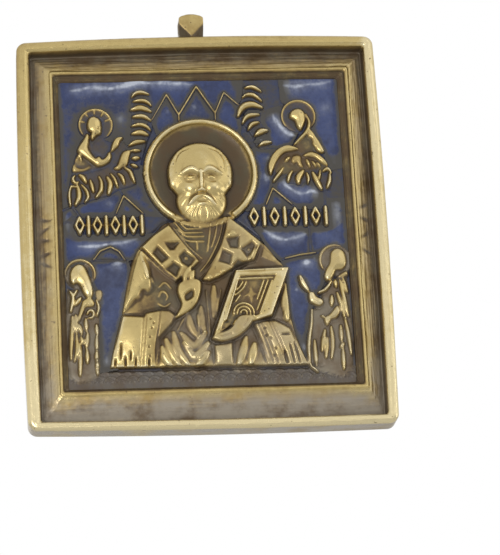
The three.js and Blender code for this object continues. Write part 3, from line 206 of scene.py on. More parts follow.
# Standing figures at both sides: halo as (x, y, radius, start, end), the body's outline, masses as
# (outline, top, crown), lines as (points, width) and folds as points
STANDING = {
    "left_standing_figure": {
        "halo": (-18.15, -6.3, 2.3, -0.1, 1.02),
        "body": [(-20.3, -9.2), (-19.6, -8.4), (-17.2, -8.2), (-15.4, -8.6), (-15.1, -10.4), (-15.5, -13),
                 (-15.6, -17), (-15.9, -21.6), (-20.3, -21.6)],
        "masses": [([(-19.6, -7.4), (-19.6, -6.2), (-19.1, -5.3), (-18.3, -4.9), (-17.6, -5.2),
                     (-17.1, -6.2), (-16.7, -7.4), (-16.4, -8.7), (-16.6, -9.8), (-17.3, -9.9),
                     (-17.8, -9.2), (-18.2, -8.2), (-18.7, -7.7), (-19.2, -7.9)], 1.1, 0.6),
                   ([(-17.9, -10.3), (-16.9, -9.9), (-16.3, -10.5), (-16.5, -11.2), (-17.5, -11.3),
                     (-18.0, -12.2), (-18.5, -13.3), (-18.8, -13.0), (-18.5, -12.0), (-18.2, -11.1)], 1.0,
                    0.4),
                   ([(-16.0, -8.8), (-15.2, -8.8), (-15.2, -9.8), (-15.7, -10.4), (-16.1, -9.6)], 0.8,
                    0.2)],
        "lines": [([(-19.7, -8.9), (-19.3, -9.9), (-19.7, -11.9)], 0.62),
                  ([(-18.2, -9.9), (-19.0, -10.9)], 0.66), ([(-18.7, -8.7), (-19.3, -9.8)], 0.4),
                  ([(-16.0, -10.2), (-15.7, -11.4), (-16.0, -12.6)], 0.4),
                  ([(-17.4, -12.3), (-17.0, -11.8), (-16.5, -12.0), (-16.6, -12.8), (-17.2, -12.9)], 0.42)],
        "folds": [[(-19.5, -12.6), (-19.6, -14.5), (-19.8, -17.0), (-19.9, -18.9)],
                  [(-19.0, -12.4), (-19.0, -15.2)],
                  [(-18.5, -13.9), (-18.3, -15.3)], [(-19.0, -15.4), (-19.0, -17.6), (-19.4, -19.2)],
                  [(-18.4, -15.7), (-18.1, -16.7)], [(-18.5, -16.7), (-18.6, -19), (-18.7, -21.3)],
                  [(-17.6, -13.0), (-17.6, -14.8)], [(-17.4, -15.1), (-17.7, -17.4)],
                  [(-17.6, -17.6), (-17.6, -19.5)], [(-16.1, -13.9), (-16.0, -15.4)],
                  [(-16.1, -15.6), (-16.2, -17.8)], [(-16.2, -17.8), (-16.3, -19.4)],
                  [(-16.2, -19.2), (-16.2, -21.2)]],
    },
    "right_standing_figure": {
        "halo": (18.7, -4.9, 2.45, 0.38, 1.2),
        "body": [(16.4, -9.6), (17.6, -8.0), (19.2, -7.0), (20.3, -6.6), (20.3, -21.4), (15.4, -21.5),
                 (14.0, -20.8), (13.75, -18), (14.1, -14), (14.6, -12.2), (16.0, -11.4)],
        "masses": [([(17.9, -4.9), (18.1, -3.8), (18.9, -3.2), (19.8, -3.5), (20.2, -4.4), (20.2, -5.6),
                     (19.6, -6.4), (18.7, -6.5), (18.3, -7.2), (17.8, -7.9), (17.2, -8.0), (16.9, -7.4),
                     (17.2, -6.4), (17.7, -5.6)],
                    1.0, 0.55),
                   ([(14.5, -11.0), (14.5, -9.8), (15.2, -9.7), (15.6, -10.4), (16.4, -10.8), (16.5, -11.4),
                     (15.9, -11.8), (14.9, -11.4)], 1.1, 0.5),
                   ([(16.6, -14.5), (16.5, -13.6), (17.3, -13.1), (18.0, -12.3), (18.5, -11.8),
                     (18.9, -12.6), (18.3, -13.6), (17.5, -13.9), (17.0, -14.7)], 1.1, 0.5),
                   ([(18.8, -7.5), (19.5, -6.9), (20.2, -6.6), (20.3, -7.2), (19.4, -7.6)], 0.9, 0.2)],
        "lines": [([(13.4, -7.3), (13.8, -8.4), (14.4, -9.4)], 0.95),
                  ([(15.9, -9.8), (17.0, -9.3), (17.9, -8.1)], 0.5),
                  ([(14.8, -12.3), (14.6, -14.4), (14.2, -16.5), (14.0, -18.4), (14.1, -20.4),
                    (15.1, -21.5)], 0.55), ([(16.1, -13.3), (16.5, -13.5)], 0.4)],
        "folds": [[(14.9, -16.9), (14.9, -18.6), (15.0, -20.6)],
                  [(16.5, -15.4), (16.2, -16.8), (15.9, -18.5)],
                  [(16.8, -16.6), (16.6, -18), (16.4, -19.5)],
                  [(17.4, -14.9), (17.5, -17.2), (17.2, -19.6)],
                  [(18.8, -14.8), (18.8, -17.1)], [(19.1, -17.4), (18.6, -18.0)],
                  [(18.9, -18.2), (18.9, -21.2)],
                  [(19.5, -13.8), (19.8, -15.8), (20.1, -19)], [(18.6, -9.9), (19.1, -11.8), (19.5, -13.8)],
                  [(19.1, -7.9), (19.6, -10.8), (20.0, -13.4)], [(19.6, -7.7), (20.1, -9.8)],
                  [(18.4, -7.8), (18.5, -9.0)], [(17.8, -10.3), (17.7, -11.8)]],
    },
}

# Half-figures in the upper corners, given in the same way but without folds and with whole haloes
UPPER = {
    "left_upper_figure": {
        "halo": (-15.1, 16.3, 2.6),
        "body": [(-17.2, 14.4), (-15, 14.9), (-13, 13.9), (-11.4, 14.3), (-10.1, 12.4), (-9.9, 10),
                 (-9.5, 8.4), (-9.7, 7), (-12, 6.2), (-13.4, 5.4), (-15.2, 4.9), (-16.8, 4.4), (-18.5, 3.9),
                 (-19.4, 4), (-19.5, 6.5), (-18.9, 9.4), (-18.3, 12)],
        "masses": [([(-16.2, 14.2), (-17.7, 12.2), (-18.4, 10.2), (-16.5, 9.5), (-14.7, 9.9), (-15.1, 11.3),
                     (-15.8, 12.2)], 0.86, 0.1),
                   ([(-16.3, 16.3), (-16.0, 17.2), (-15.3, 17.5), (-14.5, 17.0), (-14.3, 16.1),
                     (-14.4, 14.9), (-15.0, 14.6), (-15.7, 13.9), (-15.9, 14.5), (-15.8, 15.0),
                     (-16.2, 15.4)], 1.2, 0.55),
                   ([(-16.4, 14.9), (-17.0, 13.9), (-17.9, 12.4), (-17.2, 11.5), (-16.0, 10.6),
                     (-15.1, 9.9), (-14.2, 10.0), (-13.3, 10.6), (-13.0, 11.5), (-13.3, 12.1),
                     (-13.7, 11.4), (-14.3, 10.9), (-14.8, 11.4), (-15.3, 11.1), (-15.9, 11.8),
                     (-16.3, 12.7), (-16.2, 13.6), (-16.1, 14.5)], 1.15, 0.5),
                   ([(-13.0, 12.1), (-12.9, 12.9), (-12.6, 13.7), (-12.1, 14.3), (-11.2, 14.3),
                     (-11.7, 13.6), (-11.9, 13.0), (-12.3, 12.6)], 1.05, 0.45),
                   ([(-12.7, 9.5), (-12.2, 10.0), (-11.9, 10.7), (-11.3, 12.0), (-10.2, 12.3),
                     (-10.4, 11.2), (-10.8, 10.0), (-11.4, 9.7), (-12.0, 9.3)], 1.05, 0.45),
                   ([(-18.7, 9.2), (-18.5, 10.3), (-18.0, 9.8), (-17.0, 9.6), (-16.2, 10.0), (-16.3, 9.5),
                     (-17.5, 9.1)], 0.9, 0.3)],
        "lines": [([(-17.9, 11.2), (-17.6, 11.6), (-17.4, 10.7)], 0.4),
                  ([(-18.4, 8.5), (-18.7, 8.0), (-18.4, 7.4), (-17.9, 7.5)], 0.5),
                  ([(-17.7, 8.6), (-17.2, 8.2), (-16.8, 7.4)], 0.75),
                  ([(-18.1, 7.1), (-17.9, 6.2), (-17.9, 5.2), (-18.4, 4.1)], 0.75),
                  ([(-17.5, 7.1), (-16.8, 6.2), (-16.6, 5.2), (-17.0, 4.5)], 0.5),
                  ([(-16.2, 7.8), (-16.0, 7), (-15.8, 6)], 0.62),
                  ([(-14.9, 8.3), (-14.6, 7.4), (-14.7, 6.2), (-15.4, 5.2)], 0.62),
                  ([(-13.7, 8.2), (-13.3, 7.2), (-13.6, 5.7)], 0.8),
                  ([(-13.2, 8.7), (-12.7, 7.9), (-12.3, 6.7)], 0.45),
                  ([(-12.1, 8.7), (-11.6, 8.2), (-11.3, 7.2)], 0.55),
                  ([(-11.1, 9.6), (-10.4, 9.0), (-10.1, 8.2), (-9.8, 7.4)], 0.6),
                  ([(-19.0, 7.0), (-19.3, 5.6), (-19.2, 3.9)], 0.4), ([(-18.3, 6.8), (-19.1, 6.9)], 0.3)],
    },
    "right_upper_figure": {
        "halo": (14.6, 17.2, 2.65),
        "body": [(13.4, 12.9), (14.8, 15), (16.7, 15.2), (18, 11.8), (18.8, 9.4), (18.9, 6.1), (17.3, 5.7),
                 (16.4, 7), (15.2, 6.9), (14.4, 6.3), (13.4, 6.6), (12.4, 6.8), (11.2, 7.7), (10.4, 7),
                 (9.7, 8.2), (10, 10.4), (11.2, 12.2)],
        "masses": [([(10.6, 8.8), (11.0, 10.2), (12.4, 11.5), (14.4, 12.0), (16.4, 11.5), (18.0, 10.2),
                     (18.6, 8.8), (17.0, 8.9), (15.4, 8.9), (14.0, 8.6), (12.6, 8.3), (11.4, 8.2)], 0.86,
                    0.1),
                   ([(14.9, 13.8), (16.0, 15.0), (17.0, 13.4), (18.0, 11.6), (16.5, 11.4), (14.6, 11.7),
                     (13.9, 12.6)],
                    0.88, 0.1),
                   ([(13.3, 17.0), (13.6, 17.9), (14.6, 18.3), (15.4, 17.8), (15.6, 16.8), (15.3, 15.8),
                     (14.8, 15.0), (14.3, 15.5), (14.0, 16.4)], 1.2, 0.55),
                   ([(16.0, 15.2), (16.7, 14.6), (17.0, 14.0), (17.6, 13.0), (18.1, 11.7), (17.6, 11.4),
                     (17.0, 11.7), (16.6, 12.6), (16.3, 13.6), (15.8, 14.0)], 1.1, 0.4),
                   ([(10.0, 8.2), (9.7, 9.4), (10.1, 10.7), (10.9, 11.8), (11.9, 12.5), (13.0, 12.7),
                     (14.3, 12.1), (13.4, 11.8), (12.4, 11.6), (11.6, 11.0), (10.9, 10.0), (10.4, 8.9)],
                    1.15, 0.4),
                   ([(14.9, 11.0), (16.0, 11.6), (17.2, 11.2), (18.1, 10.4), (18.5, 9.5), (17.6, 9.8),
                     (16.6, 10.6), (15.8, 10.8)], 1.1, 0.45),
                   ([(13.1, 10.3), (13.5, 11.0), (14.5, 11.0), (14.6, 10.1), (14.8, 9.2), (14.2, 9.4),
                     (13.9, 9.9), (13.4, 9.8)], 1.05, 0.4)],
        "lines": [([(15.7, 17.4), (16.1, 16.3), (16.0, 15.4), (15.5, 14.5), (14.8, 13.8), (13.8, 12.8)],
                   0.6),
                  ([(12.3, 10.2), (12.9, 10.8)], 0.6), ([(15.4, 10.4), (15.8, 9.3)], 0.55),
                  ([(16.2, 10.1), (16.7, 9.3)], 0.45), ([(16.9, 9.9), (17.3, 9.3)], 0.4),
                  ([(10.4, 7.2), (11.2, 8.2), (11.9, 9.2)], 0.55),
                  ([(12.5, 7.1), (12.7, 7.9), (13.2, 8.7)], 0.5),
                  ([(14.0, 6.9), (14.1, 7.8), (14.8, 8.7)], 0.95),
                  ([(16.2, 8.4), (16.7, 7.2), (17.3, 5.9)], 0.85),
                  ([(15.3, 8.4), (15.5, 7.6), (15.4, 6.8)], 0.45),
                  ([(18.7, 8.2), (18.6, 7.2), (18.2, 6.1)], 0.55),
                  ([(17.7, 8.6), (18.4, 9.0), (18.9, 8.4)], 0.45), ([(17.3, 8.8), (17.1, 7.4)], 0.35),
                  ([(16.9, 12.3), (16.5, 12.9)], 0.35)],
    },
}

# Cloud ladders beside the main halo: outline of the land, crescents as (points, width), sunk cells
LADDERS = {
    "left_cloud_ladder": {
        "body": [(-10.2, 9.4), (-10.4, 13), (-10.1, 16), (-10, 18.6), (-9.8, 21.1), (-8.6, 21.6),
                 (-7, 21.2), (-6.9, 19.4), (-6.9, 17.4), (-6.8, 15.6), (-7.8, 13), (-8.5, 10.4),
                 (-8.9, 9.2)],
        "arcs": [([(-9.7, 20.4), (-9.2, 20.9), (-8.4, 21.1), (-7.2, 20.8)], 0.4),
                 ([(-9.5, 19.7), (-8.2, 19.8), (-7.4, 19.5), (-6.9, 19.0)], 0.42),
                 ([(-9.9, 18.4), (-8.6, 18.7), (-7.8, 18.5), (-7.0, 18.1)], 0.72),
                 ([(-9.7, 17.3), (-8.5, 17.4), (-7.8, 17.2), (-7.1, 16.7)], 0.5),
                 ([(-9.9, 15.9), (-8.7, 16.1), (-7.8, 15.8), (-7.2, 15.2)], 0.42),
                 ([(-9.9, 14.7), (-8.7, 14.9), (-7.6, 14.5)], 0.68),
                 ([(-10.4, 12.9), (-9.4, 13.4), (-8.1, 13.5)], 0.55), ([(-10.2, 12.1), (-8.8, 12.1)], 0.36),
                 ([(-10.1, 10.9), (-9.0, 11.0)], 0.55), ([(-10.3, 10.0), (-9.3, 9.6)], 0.36)],
        "pockets": [],
    },
    "right_cloud_ladder": {
        "body": [(6.6, 21.9), (8, 22.2), (9.5, 21.4), (9.4, 19), (9.2, 16.6), (10.1, 15), (10.4, 13),
                 (9.6, 11.9), (8.2, 12.3), (7.6, 14), (6.4, 16), (5.7, 17), (5.8, 19), (6.4, 20.4)],
        "arcs": [([(7.0, 21.6), (8.1, 21.7), (9.3, 21.0)], 0.42),
                 ([(6.5, 20.1), (7.2, 20.5), (8.2, 20.4), (9.3, 19.5)], 0.42),
                 ([(5.7, 17.2), (6.2, 18.3), (7.0, 18.9), (8.0, 19.0), (9.3, 18.5)], 0.85),
                 ([(6.3, 16.1), (6.8, 16.9), (7.5, 17.3), (8.8, 17.4)], 0.5),
                 ([(7.1, 15.1), (7.7, 15.9), (8.7, 16.2)], 0.45),
                 ([(8.1, 14.2), (9, 14.8), (9.9, 14.9)], 0.75),
                 ([(8.6, 12.6), (9.3, 13), (10.4, 13.1)], 0.48)],
        "pockets": ["enamel_upper_cloud", "enamel_lower_cloud"],
    },
}

# Raised lines between the enamel cells, and lands left bare of enamel
CELL_LINES = [
    [(-6.9, 16.9), (-4.6, 20.8), (-2.95, 17.6), (-0.2, 22), (2.4, 17.8), (3.8, 21), (5.9, 19)],
    [(-2.95, 17.6), (-2.95, 16.4)], [(2.4, 17.8), (2.4, 16.6)], [(-12.7, 2.6), (-11.5, 5.3), (-8.8, 2.6)],
    [(9.1, 3.6), (10.2, 6.1), (12.9, 3.6)], [(-16.2, -4.3), (-15.2, -3), (-13.7, -2.4), (-12.5, -3.1),
                                             (-11.7, -4.4)],
    [(11.4, -4.6), (13.6, -4.1), (15.9, -3.8)],
]
FAINT_LINES = [
    [(-20.5, 3.2), (-19, 3.9), (-17.8, 2.2)], [(9.4, 12.2), (11.6, 12.3)], [(10.2, 6.1), (10.5, 7.5)],
    [(-11.5, 5.3), (-12.2, 6.5)], [(15.2, 0.4), (15.2, -4.2)], [(-17.5, -5.1), (-16.2, -4.3), (-11, -4.3)],
    [(10.8, -4.8), (11.4, -4.6)], [(15.9, -3.8), (17, -3.8)], [(-12.7, 2.2), (-12.7, 2.6)],
    [(-8.6, 2.4), (-8.8, 2.6)],
    [(9, 3), (9.1, 3.6)], [(12.9, 3.6), (13.4, 3.2)], [(-11.7, -4.4), (-11.4, -5)],
]
BARE_LANDS = [
    [(6.6, 23.4), (6.6, 21.9), (9.2, 21.3), (9.3, 17.8), (12, 19.4), (12.6, 21.2), (12, 23.4)],
    [(18.7, 9.6), (20.6, 9.8), (20.6, 4.4), (18.4, 4.2), (17.3, 3), (16.8, 4.2), (17.2, 6)],
]
FOOT_LAND = [(-20.6, -20.7), (20.6, -20.8), (20.6, -23.6), (-20.6, -23.6)]
ORNAMENT_BEDS = [
    [(-19, -0.9), (-19, 2.4), (-6.2, 2.4), (-6.2, 0), (-8, -0.9)],
    [(5.8, 2.2), (5.8, 3.3), (18.5, 3.3), (18.5, 0), (8, 0)],
]
# Cells that differ from the others: more worn, and paler by more of the painted highlight's colour
CELL_TONES = {"enamel_left_taper": (0.0, 0.05), "enamel_right_outer_band": (0.0, 0.05),
              "enamel_right_sky": (0.0, 0.03),
              "enamel_right_taper": (0.0, 0.04), "enamel_middle_peak": (0.2, 0.0),
              "enamel_left_peak": (0.12, 0.0),
              "enamel_left_shoulder": (0.1, 0.0)}

# Dents in the channel: side, height on the plate in mm and slant
CHANNEL_DENTS = [(-1, 2.3, 0.2), (-1, 0.9, -0.8), (-1, -0.7, 0.1), (-1, -2.8, -0.4), (-1, -4.4, 0.6),
                 (1, 3.5, 0.5), (1, 1.5, -0.3), (1, -0.9, 0.7), (1, -3.4, -0.5)]

# Rows of bars and lozenges: first place and pitch, the pitch in shares of the set one
ORNAMENT_ROWS = [(-18, 0.8, 1.0), (7.2, 1.7, 1.17)]
ORNAMENTS = 8
# Small arches along the foot: how many, the first one's place, their pitch and level
FOOT_ARCHES, FOOT_ARCH_X, FOOT_ARCH_PITCH, FOOT_ARCH_Y = 26, -19, 1.55, -22.5

# Enamel cells, each drawn a little over the metal that bounds it
CELLS = {
    "enamel_sky": [(-20.6, 3.2), (-20.6, 23.6), (6.8, 23.6), (6.4, 20), (5.6, 18.9), (3.8, 21), (2.4, 17.6),
                   (-0.2, 22), (-2.95, 17.6), (-4.6, 20.8), (-6.9, 17), (-8, 16), (-9, 11), (-10.2, 11),
                   (-11, 13), (-15, 14), (-18.6, 10), (-19, 6), (-19, 3.9)],
    "enamel_left_peak": [(-7, 16.9), (-4.6, 20.8), (-2.95, 17.4), (-2.95, 14), (-6, 14)],
    "enamel_middle_peak": [(-2.95, 17.5), (-0.2, 22), (2.4, 17.8), (2.4, 14), (-2.95, 14)],
    "enamel_right_peak": [(2.4, 17.6), (3.8, 21), (5.9, 19), (6.2, 17), (6, 14), (2.4, 14)],
    "enamel_left_corner": [(-17.8, 2.2), (-19, 3.9), (-18.6, 4.6), (-14, 6.4), (-12.2, 6.5), (-11.5, 5.3),
                           (-12.7, 2.2)],
    "enamel_left_caret": [(-12.7, 2.2), (-11.5, 5.3), (-8.5, 2.3)],
    "enamel_left_shoulder": [(-11.5, 5.3), (-12.2, 6.5), (-10, 8.6), (-9.6, 10), (-7, 10), (-4, 2.2),
                             (-8.5, 2.3)],
    "enamel_left_band": [(-20.6, 3.2), (-20.6, -5.4), (-18, -5), (-16, -4.1), (-15.2, -3), (-13.7, -2.4),
                         (-12.5, -3.1), (-11.75, -4.3), (-9, -4.1), (-6, 0), (-8.4, -0.4), (-18, -0.4),
                         (-17.9, 2.3), (-19, 3.9)],
    "enamel_left_arch": [(-16.2, -4.3), (-15.2, -3), (-13.7, -2.4), (-12.5, -3.1), (-11.8, -4.3)],
    "enamel_left_taper": [(-16.8, -4.3), (-11.2, -4.3), (-10, -9), (-13, -20.4), (-16, -20.9), (-16.4, -9),
                          (-17, -7)],
    "enamel_right_hollow": [(9, 18.2), (12, 19), (14, 17), (14.6, 15), (13.4, 12.8), (11.6, 12.3),
                            (9.4, 12.2), (10, 15), (9, 16.4)],
    "enamel_right_sky": [(12, 23.6), (12.2, 19.6), (16, 17), (16.4, 15.4), (18.4, 10), (18.4, 8.8),
                         (20.6, 9.2), (20.6, 23.6)],
    "enamel_right_shoulder": [(7, 12.4), (5, 2.8), (9.1, 3), (10.2, 6.1), (10.5, 7.5), (9.9, 9),
                              (11.6, 12.3), (9.4, 12.2), (8.2, 12.6)],
    "enamel_right_caret": [(9.1, 3), (10.2, 6.1), (13.4, 3)],
    "enamel_right_bowl": [(10.2, 6.1), (10.5, 7.5), (11, 8), (14, 8), (17.2, 7), (17.6, 5), (17.4, 3),
                          (13.4, 3)],
    "enamel_right_inner_band": [(8, -1), (7, 0.4), (15.2, 0.4), (15.2, -4.2), (13.6, -4.2), (10.8, -4.9),
                                (9, -3)],
    "enamel_right_outer_band": [(15.2, 0.4), (18, 0.4), (18, 4.6), (20.6, 4.6), (20.6, -4), (18, -3.4),
                                (15.2, -3.9)],
    "enamel_right_taper": [(10.8, -4.8), (13.6, -4.2), (17, -3.8), (17, -8), (15.4, -11), (14.5, -13),
                           (14, -20.7), (12.6, -20), (11, -12), (10.8, -6)],
    "enamel_upper_cloud": [(6.3, 17.2), (7.2, 18.3), (9.1, 18.3), (8.9, 17.7), (7.4, 17.5), (6.6, 16.7)],
    "enamel_lower_cloud": [(7.8, 13.4), (8.6, 14.4), (10.3, 14.6), (10.2, 13.4), (8.9, 13.1)],
}
# Swells of the enamel, each a line with its width and rise, which also sets how strong a painted highlight
# lies along it
ENAMEL_SWELLS = [
    ([(-18.7, 21.6), (-17.4, 21.7), (-16.2, 22.0)], 0.55, 1.0),
    ([(-16.6, 22.0), (-14, 22.0), (-12.5, 21.8)], 0.9, 0.75),
    ([(-12.9, 21.8), (-11, 22.2), (-9, 22.7), (-7.0, 22.7)], 0.9, 1.0),
    ([(-7.2, 22.6), (-4, 22.6), (-0.6, 22.4)], 0.7, 0.8),
    ([(-18.4, -2.2), (-16, -2.25), (-14.2, -2.0)], 0.55, 1.1),
    ([(-14.6, -2.0), (-11.5, -1.7), (-9.6, -1.1)], 0.6, 0.8), ([(-13.7, -4.95), (-12.0, -4.8)], 0.8, 0.9),
    ([(12.6, 22.0), (14.3, 21.8), (16.4, 22.1)], 0.7, 0.9),
    ([(16.2, 22.1), (18.0, 22.2), (19.7, 22.6)], 0.55, 0.8),
    ([(10.9, 17.5), (11.2, 16.6), (11.9, 15.5)], 0.75, 1.0),
    ([(11.7, 15.8), (12.8, 14.6), (14.2, 14.0)], 0.7, 1.0),
    ([(11.8, 7.6), (12.1, 6.5), (13, 5.9)], 0.6, 0.9), ([(12.6, 6.1), (14, 5.3), (15.4, 5.3)], 0.6, 0.8),
    ([(15.2, 5.4), (15.9, 5.6), (16.9, 5.2)], 0.6, 1.1), ([(9.1, 8.4), (9.4, 7.4), (9.9, 8.0)], 0.7, 0.7),
    ([(10.5, 5.1), (11.3, 4.5), (12.2, 4.0)], 0.5, 0.6),
    ([(8.5, -0.2), (10, -1.3), (11.8, -1.8)], 0.7, 0.9),
    ([(11.6, -1.8), (13.6, -1.3), (15, -0.8)], 0.7, 0.7), ([(13.9, -5.3), (15.0, -5.2)], 0.9, 1.2),
    ([(12.6, -9.1), (12.9, -9.5)], 0.6, 0.8), ([(15.6, -4.2), (15.7, -4.8)], 0.5, 0.6),
    ([(13.3, -17.3), (13.4, -18.4)], 0.5, 0.6), ([(-14.9, -18.6), (-14.9, -19.7)], 0.5, 0.6),
    ([(-14.0, 4.2), (-13.2, 4.2)], 0.9, 0.5), ([(-4.9, 18.4), (-4.4, 18.0)], 0.7, 0.5),
    ([(-0.9, 19.2), (-0.3, 18.6)], 0.7, 0.55), ([(2.8, 18.9), (3.2, 18.2)], 0.7, 0.5),
    ([(19.3, 4.3), (19.5, 2), (19.6, 0.4)], 1.0, 0.4), ([(-19.8, 2.6), (-19.7, 0.2)], 0.8, 0.35),
    ([(-11.8, 17.2), (-11.0, 17.0)], 1.3, 0.4), ([(18.0, 18.2), (19.3, 18.6)], 1.2, 0.4),
    ([(9.6, 11.0), (9.9, 10.6)], 0.8, 0.5), ([(8.6, 13.6), (9.2, 13.5)], 0.5, 0.6),
    ([(-11.4, 7.6), (-11.9, 6.9)], 0.6, 0.3),
]

# Middles of the main halo and of the main head
HALO_PLACE = (-0.1, 8.8)
HEAD_PLACE = (-0.15, 7.6)

# The sizes that the relief is drawn with
DRAWN_SIZES = "grid_step head_scale halo_radius halo_rim cell_line ornament_pitch softness"
Drawn = collections.namedtuple("Drawn", DRAWN_SIZES)

# The camera: right, up, backward and place as columns, in metres, below the plate's normal
CAMERA = ((0.99446162, 0.02413626, -0.1022914, -0.035646),
          (-0.09011689, -0.30501736, -0.9480735, -0.393448),
          (-0.0540836, 0.95204089, -0.30115297, -0.163443),
          (0, 0, 0, 1))
FOCAL_LENGTH = 188.53

# Lamps: name, place and size in metres, watts and tint, all turned to LIT_PLACE
LIT_PLACE = (0.0, 0.0, -0.031)
LAMPS = (
    ("key", (-0.30, -0.34, -0.42), 0.18, 2.5, (1, 0.99, 0.98)),
    ("front", (-0.17, -0.42, -0.12), 0.22, 0.6, (1, 0.99, 0.97)),
    ("side", (0.55, -0.2, -0.05), 0.3, 0.4, (0.97, 0.98, 1)),
    ("fill", (0.35, -0.5, 0.25), 0.4, 0.2, (0.97, 0.98, 1)),
)
FLOOR_HALF, FLOOR_LEVEL = 12.0, -0.32

# A height under all of the map, and heights of the land and of the floors of the cut pieces
BELOW = -9
LAND = 0.33
RELIEF_FLOOR = -0.35
ENAMEL_FLOOR = -0.3

# Shapes on the map


def curve(points, each=6, closed=False):
    """Uniform Catmull-Rom curve through the points, the same number of steps on each span.

    p(t) = (2 b + (c - a) t + (2 a - 5 b + 4 c - d) t^2 + (3 b - a - 3 c + d) t^3) / 2
    """
    p = np.asarray(points, float)
    if closed:
        q = np.vstack([p[-1], p, p[0], p[1]])
    else:
        q = np.vstack([2 * p[0] - p[1], p, 2 * p[-1] - p[-2]])
    t = (np.arange(each) / each)[None, :, None]
    a, b, c, d = (q[i:len(q) - 3 + i, None, :] for i in range(4))
    run = 0.5 * (2 * b + (c - a) * t + (2 * a - 5 * b + 4 * c - d) * t**2 + (3 * b - a - 3 * c + d) * t**3)
    run = run.reshape(-1, 2)
    return run if closed else np.vstack([run, p[-1]])


def path(points, each=6):
    """A curve through three points or more, or the straight line between two."""
    return curve(points, each) if len(points) > 2 else points


def mirrored(side, *points):
    """Points drawn for the right side, taken to the side of the given sign."""
    return [(side * a, b) for a, b in points]


def ring_arc(x, y, radius, start, end, steps=24):
    """Points of an arc, its ends in half turns."""
    t = np.pi * np.linspace(start, end, steps)
    return np.stack([x + radius * np.cos(t), y + radius * np.sin(t)], 1)


def to_line(X, Y, line):
    """Distance to a polyline, and how far along it from 0 to 1 its nearest point lies."""
    line = np.asarray(line, float)
    a, d = line[:-1], np.diff(line, axis=0)
    length = np.maximum(np.hypot(d[:, 0], d[:, 1]), 1e-9)
    px, py = X[..., None] - a[:, 0], Y[..., None] - a[:, 1]
    t = np.clip((px * d[:, 0] + py * d[:, 1]) / length**2, 0, 1)
    far = np.hypot(px - t * d[:, 0], py - t * d[:, 1])
    near = far.argmin(-1)[..., None]
    along = (np.cumsum(length) - length + t * length) / length.sum()
    return np.take_along_axis(far, near, -1)[..., 0], np.take_along_axis(along, near, -1)[..., 0]


def inside(X, Y, outline):
    """Signed distance to a closed outline, above 0 inside it, by the even-odd rule."""
    p = np.asarray(outline, float)
    q = np.roll(p, -1, 0)
    crossed = np.zeros(X.shape, int)
    for (ax, ay), (bx, by) in zip(p, q):
        span = (ay > Y) != (by > Y)
        crossed += span & (X < (bx - ax) * (Y - ay) / (by - ay + 1e-12) + ax)
    return np.where(crossed % 2 == 1, 1, -1) * to_line(X, Y, np.vstack([p, p[:1]]))[0]


def blurred(h, sigma, step):
    """Gaussian blur of a map by its Fourier transform, over a mirrored rim."""
    pad = int(4 * sigma / step) + 2
    wide = np.pad(h, pad, mode="reflect")
    fy = np.fft.fftfreq(wide.shape[0])[:, None]
    fx = np.fft.rfftfreq(wide.shape[1])[None, :]
    gain = np.exp(-2 * (np.pi * sigma / step) ** 2 * (fx**2 + fy**2))
    return np.fft.irfft2(np.fft.rfft2(wide) * gain, wide.shape)[pad:-pad, pad:-pad]


def grain(shape, sigma, step, seed):
    """Smooth random relief with a given length scale, of unit spread."""
    h = blurred(np.random.default_rng(seed).standard_normal(shape), sigma, step)
    return (h - h.mean()) / h.std()


